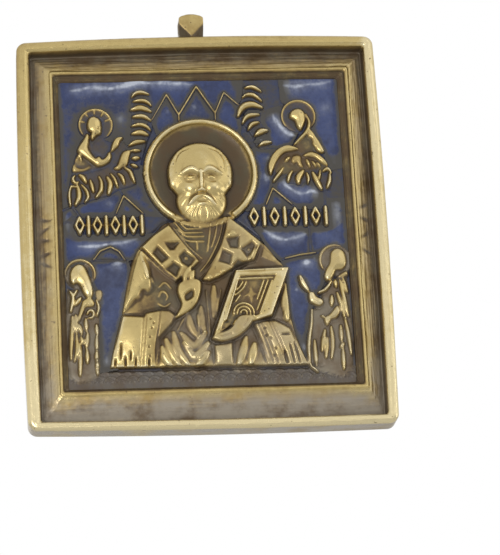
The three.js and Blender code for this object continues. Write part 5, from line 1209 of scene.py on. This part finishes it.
def enamel_group(c):
    """Opaque blue glass, uneven in depth of colour, worn to a grey brown beside the metal that also serves as
    painted shade there, with painted highlights where it swells.
    """
    tree, source, out = group_of("Uneven enamel",
                                 [("Wear", "NodeSocketFloat"), ("Crest", "NodeSocketFloat")],
                                 [("Color", "NodeSocketColor"), ("Roughness", "NodeSocketFloat"),
                                  ("Height", "NodeSocketFloat")])
    add, less, times = arithmetic(tree)
    place = tree.nodes.new("ShaderNodeTexCoord").outputs["Object"]
    broad = noise_node(tree, place, 190, 4, 0.6)
    fine = noise_node(tree, place, 900, 5, 0.65)
    speck = noise_node(tree, place, 3000, 3, 0.6)
    blend = add(times(broad, 0.6), times(fine, 0.4))
    glass = mix_node(tree, ramp(tree, blend, 0.36, 0.62), tuple(c.enamel_deep), tuple(c.enamel_light))
    drift = add(times(less(broad, 0.5), 0.9), times(less(fine, 0.5), 1.5))
    wear = ramp(tree, add(source.outputs["Wear"], drift), 0.12, 0.75)
    colour = mix_node(tree, wear, glass, tuple(c.enamel_worn))
    # painted highlight: pale streaks of the highlight colour along the swells, broken up by noise
    cloud = add(0.6, times(less(fine, 0.4), 3.0))
    crest = times(source.outputs["Crest"], cloud, clamp=True)
    tree.links.new(mix_node(tree, crest, colour, tuple(c.enamel_highlight)), out.inputs["Color"])
    rough = add(0.2, times(wear, 0.3))
    rough = add(rough, times(ramp(tree, speck, 0.55, 0.75), 0.1))
    tree.links.new(rough, out.inputs["Roughness"])
    tree.links.new(add(times(fine, 0.5), speck), out.inputs["Height"])
    return tree


def fitted_material(name, group, marks, links, bump, distance):
    """A material that feeds a shared group's outputs into its own shader, with point marks as its inputs."""
    material, shader = new_material(name)
    tree = material.node_tree
    node = tree.nodes.new("ShaderNodeGroup")
    node.node_tree = group
    for mark, socket in zip(marks, node.inputs):
        source = tree.nodes.new("ShaderNodeAttribute")
        source.attribute_name = mark
        tree.links.new(source.outputs["Fac"], socket)
    for output, socket in links:
        tree.links.new(node.outputs[output], shader.inputs[socket])
    relief_node = tree.nodes.new("ShaderNodeBump")
    relief_node.inputs["Strength"].default_value = bump
    relief_node.inputs["Distance"].default_value = distance
    tree.links.new(node.outputs["Height"], relief_node.inputs["Height"])
    tree.links.new(relief_node.outputs["Normal"], shader.inputs["Normal"])
    return material, shader


def brass_material():
    """The casting's material, made once."""
    if "Cast brass" in bpy.data.materials:
        return bpy.data.materials["Cast brass"]
    group = brass_group(bpy.context.scene.icon_colours)
    links = (("Color", "Base Color"), ("Roughness", "Roughness"), ("Metallic", "Metallic"))
    marks = ("polish", "dust", "grime", "crevice")
    material, shader = fitted_material("Cast brass", group, marks, links, 0.22, 0.00007)
    shader.inputs["Coat Weight"].default_value = 0.25
    shader.inputs["Coat Roughness"].default_value = 0.25
    return material


def enamel_material():
    """The enamel's material, made once."""
    if "Blue enamel" in bpy.data.materials:
        return bpy.data.materials["Blue enamel"]
    group = enamel_group(bpy.context.scene.icon_colours)
    links = (("Color", "Base Color"), ("Roughness", "Roughness"))
    material, shader = fitted_material("Blue enamel", group, ("wear", "crest"), links, 0.12, 0.00003)
    shader.inputs["IOR"].default_value = 1.5
    shader.inputs["Coat Weight"].default_value = 0.15
    shader.inputs["Coat Roughness"].default_value = 0.08
    return material


def plain_material(name, colour, roughness, glow):
    """A material of one colour that shines a little."""
    material, shader = new_material(name)
    shader.inputs["Emission Color"].default_value = colour
    shader.inputs["Emission Strength"].default_value = glow
    shader.inputs["Base Color"].default_value = colour
    shader.inputs["Roughness"].default_value = roughness
    return material


def dress(obj, material, slot_name, *nodes):
    """Gives a finished piece its material and body, and hides the imported parts it stands for; the slot name
    is not used.
    """
    obj.data.materials.append(material)
    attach(obj, "root")
    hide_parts(*nodes)
    return obj


# Settings


def length(name, text, value):
    """A size, in millimetres unless its text says otherwise."""
    return bpy.props.FloatProperty(name=name, description=text, default=value, min=0.0)


def colour(name, text, value):
    """A colour with alpha."""
    return bpy.props.FloatVectorProperty(name=name, description=text, default=value, size=4, subtype="COLOR",
                                         min=0.0, max=1.0)


class IconSizes(bpy.types.PropertyGroup):
    """Sizes of the icon, in millimetres."""

    plate_width: length("Plate width", "Width of the plate between its corners, mm", 52.0)
    plate_height: length("Plate height", "Height of the plate between its corners, mm", 58.2)
    corner_radius: length("Corner radius", "Radius of the plate's corners, mm", 1.3)
    side_bow: length("Side bow", "How far the long sides bow out, mm", 0.33)
    top_bow: length("Top bow", "How far the top side bows out, mm", 0.55)
    foot_bow: length("Foot bow", "How far the bottom side bows out, mm", 0.3)
    top_slant: length("Top slant", "How much higher the top is at its right end, mm", 0.2)
    foot_slant: length("Foot slant", "How much lower the foot is at its right end, mm", 0.4)
    shift_across: length("Shift across", "How far the inner border lies to the right, mm", 0.26)
    shift_up: length("Shift up", "How far the inner border lies up, mm", 0.27)
    rim_width: length("Rim width", "Width of the outer rim, mm", 1.5)
    rim_drop: length("Rim drop", "How far the rim's edges drop from its crest, mm", 0.42)
    channel_width: length("Channel width", "Width of the sloping channel, mm", 2.3)
    bead_width: length("Bead width", "Width of the inner bead, mm", 0.6)
    ledge_width: length("Ledge width", "Width of the ledge round the picture, mm", 1.3)
    loop_width: length("Loop width", "Width of the loop, mm", 3.65)
    loop_shift: length("Loop shift", "How far the loop lies to the right of the eye's mark, mm", 0.12)
    loop_height: length("Loop height", "Height of the loop, mm", 3.5)
    loop_depth: length("Loop depth", "Depth of the loop, mm", 3.4)
    eye_radius: length("Eye radius", "Radius of the loop's eye, mm", 0.8)
    halo_radius: length("Halo radius", "Outer radius of the main halo, mm", 8.45)
    head_scale: length("Head scale", "Size of the main head, in shares of its drawing", 1.08)
    halo_rim: length("Halo rim", "Width of the main halo's rim, mm", 0.9)
    cell_line: length("Cell line", "Width of the lines between the enamel cells, mm", 0.52)
    ornament_pitch: length("Ornament pitch", "Distance between two ornaments of a row, mm", 1.28)
    enamel_depth: length("Enamel depth", "Depth of the enamel over the ground, mm", 0.5)
    softness: length("Softness", "How far the casting's edges are worn soft, mm", 0.08)
    grid_step: length("Grid step", "Spacing of the relief's points, mm", 0.1)
    border_step: length("Border step", "Spacing of the border's points, mm", 0.25)


class IconColours(bpy.types.PropertyGroup):
    """Colours of the icon."""

    # the palest brass serves the most worn points and the painted highlights
    highlight_brass: colour("Pale brass", "Brass rubbed to a pale shine", (0.68, 0.575, 0.33, 1))
    bright_brass: colour("Bright brass", "Brass worn bright", (0.52, 0.4, 0.163, 1))
    dull_brass: colour("Dull brass", "Brass of the flats", (0.345, 0.24, 0.083, 1))
    patina: colour("Patina", "Brown of the hollows", (0.115, 0.072, 0.031, 1))
    patina_green: colour("Green patina", "Greenish grey of the hollows", (0.105, 0.085, 0.045, 1))
    # painted shade in the sharpest hollows
    crevice: colour("Crevice", "Dark brown of the sharpest hollows", (0.045, 0.026, 0.01, 1))
    grime: colour("Grime", "Dark film on the low lands of the picture", (0.055, 0.047, 0.036, 1))
    grime_blue: colour("Blue grime", "The same film with traces of glass", (0.026, 0.038, 0.095, 1))
    # dust, and at the foot also a painted reflection of the pale floor below
    dust: colour("Dust", "Grey brown film in the channel", (0.33, 0.285, 0.22, 1))
    enamel_deep: colour("Deep enamel", "Deep blue of the glass", (0.009, 0.018, 0.075, 1))
    enamel_light: colour("Light enamel", "Lighter blue of the glass", (0.029, 0.053, 0.175, 1))
    # grey brown of thin, worn glass, also used as painted shade beside the metal
    enamel_worn: colour("Worn enamel", "Grey brown of the glass beside metal", (0.056, 0.05, 0.041, 1))
    # painted highlight: the pale blue grey of shine along the enamel's swells
    enamel_highlight: colour("Enamel crest", "Milky blue of the glass where it swells", (0.56, 0.6, 0.7, 1))
    floor: colour("Floor", "Colour of the floor", (0.9, 0.9, 0.9, 1))


# Operators


def brush_border(level, s, section):
    """Adds slow waves along the sides, stronger in the channel, and fine unevenness to the border.

    The waves are noise along each ring whose n-th wave fades by exp(-(n / 26)^2). They are given back
    at unit spread.
    """
    rng = np.random.default_rng(21)
    count = level.shape[1]
    fine = blurred(rng.standard_normal(level.shape), 1.0, 1.0)
    noise = np.fft.rfft(rng.standard_normal(level.shape), axis=1)
    waves = np.fft.irfft(noise * np.exp(-(np.arange(count // 2 + 1) / 26.0) ** 2), count, axis=1)
    waves /= waves.std()
    inset = section[:, 0]
    channel = (inset > s.rim_width + 0.15) & (inset < s.rim_width + s.channel_width)
    front = section[:, 1] > 1.3
    level += np.where(channel[:, None], 0.018 * waves, 0.008 * waves) * front[:, None]
    level += 0.006 * fine / fine.std() * front[:, None]
    return waves


def channel_dents(s, section, x, y):
    """Small worn dents, halfway down the channel at both sides: sums of exp(-(a/0.5)^2 - (b/0.22)^2)."""
    dents = np.zeros_like(x)
    away = (section[:, 0] - s.rim_width - 0.58 * s.channel_width)[:, None]
    for side, height, turn in CHANNEL_DENTS:
        far = y - height + turn * away
        dents += np.exp(-(away / 0.5) ** 2 - (far / 0.22) ** 2) * (side * x > 0)
    return dents


def border_marks(s, section, x, y, waves, dents):
    """Marks of the border: bright on the rim and bead, dusty in the channel, with painted shade at the
    channel's outer edge, at the bead's inner step and on the ledge, and painted light where the light falls.
    """
    inset, height = section[:, 0], section[:, 1]
    rim_end, channel_end = s.rim_width, s.rim_width + s.channel_width
    back, wall = height < 0.5, (height < 3.3) & (inset <= 0.05)
    # polish from the edge over the rim, down the channel and over the bead to the ledge
    places = [0, 0.3, 0.8, *(rim_end + np.array([-0.25, 0, 0.12, 0.3])),
              *(channel_end + np.array([-1.2, -0.5, 0, 0.25, 0.5, 0.7, 1.8]))]
    polish = np.interp(inset, places, [0.6, 0.82, 0.84, 0.98, 0.75, 0.05, 0.18,
                                       0.28, 0.52, 0.76, 0.74, 0.35, 0.2, 0.26])
    polish = np.where(back, 0.45, polish)
    polish = np.where(wall, 0.5, polish)
    places = [*(rim_end + np.array([0, 0.15, 0.5])), *(channel_end + np.array([-0.8, -0.1, 0.1]))]
    dust = np.interp(inset, places, [0, 0.2, 0.5, 0.6, 0.2, 0])
    places = [*(rim_end + np.array([0, 0.06, 0.3, 0.6])),
              *(channel_end + np.array([0.4, 0.6, 0.8, 1.2, 1.6]))]
    crevice = np.interp(inset, places, [0, 0.6, 0.25, 0, 0, 0.75, 0.15, 0.15, 0.6])
    # painted light: the rim at the foot carries a painted highlight and the foot more dust, partly a painted
    # reflection; the rim is painted brighter at its lower left, where the light falls, and so are the channel
    # and bead at both sides; the rim is also brighter at its right
    lower = np.clip((y + 16) / -9, 0, 1)
    lit_left_rim = np.clip((-x - y) / 40, 0, 1) * (inset < rim_end)[:, None]
    rim = (inset < rim_end)[:, None] * (height > 3.4)[:, None]
    right_rim = rim * np.clip(x - 24, 0, 1)
    sides = np.clip(np.abs(x) - 19, 0, 1) * np.clip(28 - np.abs(y), 0, 1)
    sides *= np.interp(inset, channel_end + np.array([-1.7, -0.9, 0.2, 0.4]), [0, 1, 1, 0])[:, None]
    waves = waves * (height > 0.5)[:, None]
    polish = polish[:, None] + 0.05 * waves + 0.35 * lit_left_rim + 0.22 * sides + rim * 0.65 * lower
    polish = polish + 0.5 * right_rim
    under = (height < 3.4) & (inset <= 0.05)
    # more dust at the foot and on its underside, which also serves as a painted reflection of the pale floor
    # below
    dust = np.where(under[:, None], 0.9 * lower, dust[:, None] * (0.6 + 1.1 * lower))
    return {"polish": polish - 0.5 * dents, "dust": dust,
            "crevice": np.clip(crevice[:, None] + 0.8 * dents, 0, 0.9)}


class ICON_OT_border(bpy.types.Operator):
    """Builds the plate with its rim, channel, bead and ledge"""

    bl_idname = "icon.border"
    bl_label = "Plate and border"

    def execute(self, context):
        s = context.scene.icon_sizes
        section = border_section(s)
        outlines = np.stack([border_outline(s, inset, s.border_step) for inset, _ in section])
        x, y = outlines[..., 0], outlines[..., 1]
        level = np.repeat(section[:, 1][:, None], outlines.shape[1], 1)
        waves = brush_border(level, s, section)
        dents = channel_dents(s, section, x, y)
        level -= 0.1 * dents
        marks = border_marks(s, section, x, y, waves, dents)
        obj = skin("plate_and_border", to_row(x, y, level - GROUND), marks)
        dress(obj, brass_material(), "cast_brass", "cast_plaque")
        return {"FINISHED"}


def relief_marks(m):
    """Marks of the relief: bright on high and jutting forms, with a painted highlight on the lower robe, dark
    in hollows, where patina lies and shade is painted, grimy on the low lands.
    """
    x, y = m.x[None, :], m.y[:, None]
    near = m.h - blurred(m.h, 0.34, m.step)
    wide = m.h - blurred(m.h, 1.3, m.step)
    robe, book, dish = m.within("main_robe"), m.within("book"), m.within("main_halo")
    raised = np.clip((m.h - 0.8) / 0.25, 0, 1)
    polish = 0.1 + 0.75 * wide + 1.3 * near + 0.36 * np.clip(m.h - 0.55, 0, 0.9)
    # painted highlight: the jutting forms of the lower robe are made brighter, as the light falls on them
    # from below
    polish += (0.12 + 1.2 * np.clip(near, 0, 1)) * (np.clip((-12.5 - y) / 6, 0, 1) * robe)
    polish = np.where(m.part > 0, polish, np.minimum(polish, 0.3))
    polish += dish * (0.5 * np.clip((m.h - 0.68) / 0.4, 0, 1) - 0.45 * np.clip((m.h - 1.1) / 0.2, 0, 1))
    for name, more in (("left_standing_figure", 0.3), ("right_standing_figure", 0.24), ("main_head", 0.36)):
        polish += more * m.within(name) * raised
    polish -= 0.16 * np.exp(-(((x + 2) / 5.5) ** 4 + ((y + 12) / 4.5) ** 4)) * robe
    polish += 0.4 * book * (m.h > 1.65)
    # painted light: the robe is brighter towards its left, the side the light comes from
    polish += 0.2 * np.clip((-6 - x) / 4, 0, 1) * robe
    # grime lies on low ground, but not on the main figure and the standing ones
    clean = m.within("main_halo", "main_head", "main_robe", "book", *STANDING)
    grime = np.where(clean, 0, np.clip((0.86 - m.h) / 0.22, 0, 1))
    foot = np.clip((-20.2 - y) / 0.6, 0, 1) * (m.part == 0)
    # painted shade: darker in the hollows and in the low middle of the main halo's dish, on top of the patina
    crevice = np.clip(-2.8 * near - 0.12, 0, 0.85) + np.clip(-0.9 * wide - 0.15, 0, 0.5)
    crevice += 0.35 * dish * np.clip((1.0 - m.h) / 0.35, 0, 1)
    crevice = np.clip(crevice, 0, 0.95)
    # a grey, less metallic film on the lower right forms and between the standing figures' folds
    held = m.within("main_robe", "holding_hand", "right_standing_figure")
    film = 0.42 * np.clip((-9 - y) / 6, 0, 1) * np.clip((x + 8) / 5, 0, 1) * held
    film += 0.2 * held * np.clip(x / 3, 0, 1) * np.clip((y + 7) / 2, 0, 1)
    film += 0.4 * m.within(*STANDING) * (1 - raised)
    film += 0.35 * m.within("left_standing_figure") * np.clip((-10.5 - y) / 2, 0, 1)
    return {"polish": np.clip(polish, 0, 1.35), "dust": 0.2 * foot + np.clip(film, 0, 0.5),
            "grime": grime * (1 - 0.6 * foot), "crevice": crevice * (1 - grime)}


class ICON_OT_relief(bpy.types.Operator):
    """Builds the cast figures, haloes, clouds, lines and lands of the picture"""

    bl_idname = "icon.relief"
    bl_label = "Relief"

    def execute(self, context):
        m = relief(context.scene)
        marks = relief_marks(m)
        # the ground is cut in two just above the middle
        labels = m.part[:-1, :-1].copy()
        labels[(labels == 0) & (m.y[:-1, None] > 1.0)] = len(m.names)
        labels = parted(labels)
        for number, name in enumerate(["picture_ground_lower", *m.names[1:], "picture_ground_upper"]):
            cells = labels == number
            if cells.any():
                obj = slab(name, m.x, m.y, m.h, RELIEF_FLOOR, cells, marks)
                dress(obj, brass_material(), "cast_brass", "cast_plaque")
        return {"FINISHED"}


def enamel_marks(X, Y, metal, crest):
    """Marks of the enamel: worn beside metal, where the grey brown is also painted shade, low down, at the
    left edge, round lands and in patches.
    """
    low = np.clip((-12 - Y) / 7, 0, 1) * 0.55
    left_edge = 0.35 * np.clip((-19.6 - X) / 0.5, 0, 1)
    dull = 0.6 * np.exp(-(((X + 14.5) / 6) ** 4 + ((Y - 14) / 6.5) ** 4))
    dull += 0.35 * np.exp(-(((X - 8.5) / 2) ** 2 + ((Y - 20) / 3) ** 2))
    dull += 0.3 * np.exp(-(((X + 8) / 3) ** 2 + ((Y - 5) / 4) ** 2))
    for outlines, reach, wear in ((BARE_LANDS, 1.1, 0.95), (ORNAMENT_BEDS, 0.4, 0.6)):
        for outline in outlines:
            outer = np.minimum(inside(X, Y, curve(outline, 3, True)), 0)
            dull += wear * np.exp(-(outer / reach) ** 2)
    # beside the metal the worn grey brown also stands as painted shade
    return {"wear": np.clip(1.5 * metal + low + left_edge + dull, 0, 1.3), "crest": crest}


def cell_marks(name, marks, depth):
    """One cell's marks: with its own tone and share of the painted highlight's colour, and worn and painted
    dark as shade to its edge by 0.75 exp(-(depth / 0.5)^2), with less painted highlight there.
    """
    # the paleness of a cell adds more of the painted highlight's colour
    wear, pale = CELL_TONES.get(name, (0, 0))
    # the grey brown along the cell's edge is wear and painted shade; the painted highlight is weaker there
    edge = 0.75 * np.exp(-(np.maximum(depth, 0) / 0.5) ** 2)
    return {"wear": marks["wear"] + wear + edge, "crest": marks["crest"] + pale - 0.5 * edge}


def widened(cells):
    """Cells with their neighbours on four sides."""
    wide = cells.copy()
    wide[1:, :] |= cells[:-1, :]
    wide[:-1, :] |= cells[1:, :]
    wide[:, 1:] |= cells[:, :-1]
    wide[:, :-1] |= cells[:, 1:]
    return wide


class ICON_OT_enamel(bpy.types.Operator):
    """Fills the hollows with enamel, one body to a cell"""

    bl_idname = "icon.enamel"
    bl_label = "Enamel"

    def execute(self, context):
        m = relief(context.scene)
        level, metal, crest = enamel_level(m, context.scene)
        X, Y = np.meshgrid(m.x, m.y)
        taken = np.zeros(m.h.shape, bool)[:-1, :-1]
        shown = (m.h < level + 0.05) & ~m.within("main_halo", "main_head")
        marks = enamel_marks(X, Y, metal, crest)
        for name, outline in CELLS.items():
            depth = inside(X, Y, outline)
            points = (depth > 0) & shown
            cells = points[:-1, :-1] & points[1:, :-1] & points[:-1, 1:] & points[1:, 1:] & ~taken
            cells = without_corners(widened(cells) & ~taken) & ~taken
            taken |= cells
            obj = slab(name, m.x, m.y, level, ENAMEL_FLOOR, cells, cell_marks(name, marks, depth))
            dress(obj, enamel_material(), "enamel", name)
        return {"FINISHED"}


def keel_width(z, half):
    """Half the width of the loop's flat front face at height z."""
    return half[0] * np.clip(0.04 + 0.85 * (z + half[2]) / half[2], 0.04, 1.2)


def lug(x, y, z, half):
    """Below 0 inside the loop: a round-cornered block whose front narrows to a keel at its foot.

    The value is a soft maximum, log(sum(exp(k d))) / k, of the distances to the faces.
    """
    wide, deep, tall = half
    top = z - (tall - 0.12 - 0.5 * np.abs(x / wide) ** 2.4)
    foot = -z - tall - 0.3
    side = np.abs(x) - wide * (1 - 0.05 * np.clip(z / tall, -1, 1) ** 2)
    back = y - deep * (1 - 0.06 * np.clip(z / tall, 0, 1) ** 2)
    front = -y - deep
    # the keel: two slanting faces that leave the front whole above the loop's middle
    keel = (np.abs(x) - keel_width(z, half)) * 0.62 - (y + deep) * 0.78
    k = 14.0
    faces = np.stack(np.broadcast_arrays(top, foot, side, back, front, keel))
    peak = faces.max(0)
    return peak + np.log(np.exp(k * (faces - peak)).sum(0)) / k


def lug_rings(s, half, turns=72):
    """Closed sections through the loop: along its skin, and back through the eye, flared at both mouths.

    The skin is where lug() is 0, found by halving the reach from the eye's axis 30 times.
    """
    columns, eye_columns, mouth = 34, 12, 8
    angle = np.linspace(0, 2 * np.pi, turns, endpoint=False)[:, None]
    t = np.linspace(-1, 1, columns)[None, :]
    x = 0.97 * half[0] * np.sin(t * np.pi / 2)
    near, far = np.full((turns, columns), s.eye_radius), np.full((turns, columns), 3.2)
    for _ in range(30):
        middle = (near + far) / 2
        held = lug(x, middle * np.cos(angle), middle * np.sin(angle), half) < 0
        near, far = np.where(held, middle, near), np.where(held, far, middle)
    outer = np.stack([np.broadcast_to(x, near.shape), near * np.cos(angle), near * np.sin(angle)], -1)
    u = np.linspace(1, -1, eye_columns)[None, :]
    eye = s.eye_radius + 0.22 * np.abs(u) ** 6
    across = np.broadcast_to(0.96 * half[0] * u, (turns, eye_columns))
    inner = np.stack([across, eye * np.cos(angle), eye * np.sin(angle)], -1)
    blend = np.linspace(0, 1, mouth)[1:-1][None, :, None]
    right = outer[:, -1:] + (inner[:, :1] - outer[:, -1:]) * blend
    left = inner[:, -1:] + (outer[:, :1] - inner[:, -1:]) * blend
    return np.concatenate([outer, right, inner, left], 1)


def lug_marks(points, half, shift):
    """Marks of the loop: brighter to its front and top, dusty behind, with painted shade on the keel's
    slanting faces.
    """
    front = np.clip(-points[:, 1] / half[1], -1, 1)
    slant = np.abs(points[:, 0] - shift) - keel_width(points[:, 2], half)
    slant = np.clip(slant / 0.3 + 0.4, 0, 1) * np.clip(front * 2, 0, 1)
    return {"polish": np.clip(0.42 + 0.2 * front + 0.12 * points[:, 2] / half[2] - 0.4 * slant, 0.02, 1),
            "dust": np.clip(0.5 - 0.5 * front, 0, 0.6), "crevice": 0.35 * slant}


class ICON_OT_loop(bpy.types.Operator):
    """Builds the hanging loop on the top edge"""

    bl_idname = "icon.loop"
    bl_label = "Hanging loop"

    def execute(self, context):
        s = context.scene.icon_sizes
        half = np.array([s.loop_width / 2, s.loop_depth / 2, s.loop_height / 2])
        rings = lug_rings(s, half)
        turns, n = rings.shape[:2]
        i, j = np.meshgrid(np.arange(turns), np.arange(n), indexing="ij")
        k, m = (i + 1) % turns, (j + 1) % n
        faces = np.stack([i * n + j, k * n + j, k * n + m, i * n + m], -1).reshape(-1, 4)
        points = rings.reshape(-1, 3) + (s.loop_shift, 0, 0)
        obj = body("loop", points * MM, faces, lug_marks(points, half, s.loop_shift))
        dress(obj, brass_material(), "cast_brass", "hanging_loop")
        return {"FINISHED"}


def add_floor(scene):
    """A wide pale floor under the standing icon."""
    sides = ((-1, -1), (1, -1), (1, 1), (-1, 1))
    corners = np.array([(a * FLOOR_HALF, b * FLOOR_HALF, FLOOR_LEVEL) for a, b in sides])
    floor = body("floor", corners, np.array([(0, 1, 2, 3)]))
    floor.data.materials.append(plain_material("Pale floor", tuple(scene.icon_colours.floor), 0.9, 0.4))


def surround(scene):
    """White surroundings for the camera and for shine, and a soft light for everything else."""
    world = bpy.data.worlds.new("White surroundings")
    scene.world = world
    world.use_nodes = True
    nodes, links = world.node_tree.nodes, world.node_tree.links
    nodes.clear()
    out = nodes.new("ShaderNodeOutputWorld")
    white, soft = nodes.new("ShaderNodeBackground"), nodes.new("ShaderNodeBackground")
    white.inputs["Color"].default_value = (1, 1, 1, 1)
    white.inputs["Strength"].default_value = 1.0
    soft.inputs["Color"].default_value = (0.95, 0.97, 1, 1)
    soft.inputs["Strength"].default_value = 0.27
    path_node, mix = nodes.new("ShaderNodeLightPath"), nodes.new("ShaderNodeMixShader")
    rays = path_node.outputs
    seen = math_node(world.node_tree, "MAXIMUM", rays["Is Camera Ray"], rays["Is Glossy Ray"])
    seen = math_node(world.node_tree, "MAXIMUM", seen, rays["Is Transmission Ray"])
    links.new(seen, mix.inputs[0])
    links.new(soft.outputs[0], mix.inputs[1])
    links.new(white.outputs[0], mix.inputs[2])
    links.new(mix.outputs[0], out.inputs["Surface"])


def add_lamp(scene, name, place, size, watts, tint):
    """A round lamp at a place, turned to LIT_PLACE."""
    lamp = bpy.data.lights.new(name, "AREA")
    lamp.shape = "DISK"
    lamp.size = size
    lamp.energy = watts
    lamp.color = tint
    obj = bpy.data.objects.new(name, lamp)
    away = np.array(place) - LIT_PLACE
    away /= np.linalg.norm(away)
    side = np.cross([0, 0, 1.0], away)
    side /= np.linalg.norm(side)
    turn = np.stack([side, np.cross(away, side), away], 1)
    obj.matrix_world = Matrix([[*turn[k], place[k]] for k in range(3)] + [[0, 0, 0, 1]])
    scene.collection.objects.link(obj)


def add_camera(scene):
    """The camera, below the plate's normal and a little to its left."""
    camera = bpy.data.cameras.new("camera")
    camera.sensor_width = 36
    camera.sensor_fit = "AUTO"
    camera.lens = FOCAL_LENGTH
    camera.clip_start = 0.01
    obj = bpy.data.objects.new("camera", camera)
    obj.matrix_world = Matrix(CAMERA)
    scene.collection.objects.link(obj)
    scene.camera = obj


class ICON_OT_stage(bpy.types.Operator):
    """Sets the floor, the lights, the white surroundings and the camera"""

    bl_idname = "icon.stage"
    bl_label = "Stage"

    def execute(self, context):
        scene = context.scene
        scene.view_settings.view_transform = "Standard"
        add_floor(scene)
        surround(scene)
        for lamp in LAMPS:
            add_lamp(scene, *lamp)
        add_camera(scene)
        return {"FINISHED"}


class ICON_PT_panel(bpy.types.Panel):
    """Sizes, colours and steps of the icon"""

    bl_label = "Icon"
    bl_idname = "ICON_PT_panel"
    bl_space_type = "VIEW_3D"
    bl_region_type = "UI"
    bl_category = "Icon"

    def draw(self, context):
        layout = self.layout
        for settings in (context.scene.icon_sizes, context.scene.icon_colours):
            box = layout.box()
            for key in settings.bl_rna.properties.keys():
                if key not in ("rna_type", "name"):
                    box.prop(settings, key)
        for step in STEPS:
            layout.operator(step.bl_idname)


STEPS = (ICON_OT_border, ICON_OT_relief, ICON_OT_enamel, ICON_OT_loop, ICON_OT_stage)
CLASSES = (IconSizes, IconColours, *STEPS, ICON_PT_panel)


def register():
    """Registers the add-on and its settings."""
    for item in CLASSES:
        bpy.utils.register_class(item)
    bpy.types.Scene.icon_sizes = bpy.props.PointerProperty(type=IconSizes)
    bpy.types.Scene.icon_colours = bpy.props.PointerProperty(type=IconColours)


def unregister():
    """Takes the add-on away."""
    del bpy.types.Scene.icon_sizes, bpy.types.Scene.icon_colours
    for item in reversed(CLASSES):
        bpy.utils.unregister_class(item)


def main():
    """Builds the whole icon and its stage."""
    register()
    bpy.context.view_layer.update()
    bpy.ops.icon.border()
    bpy.ops.icon.relief()
    bpy.ops.icon.enamel()
    bpy.ops.icon.loop()
    bpy.ops.icon.stage()


if __name__ == "__main__":
    main()
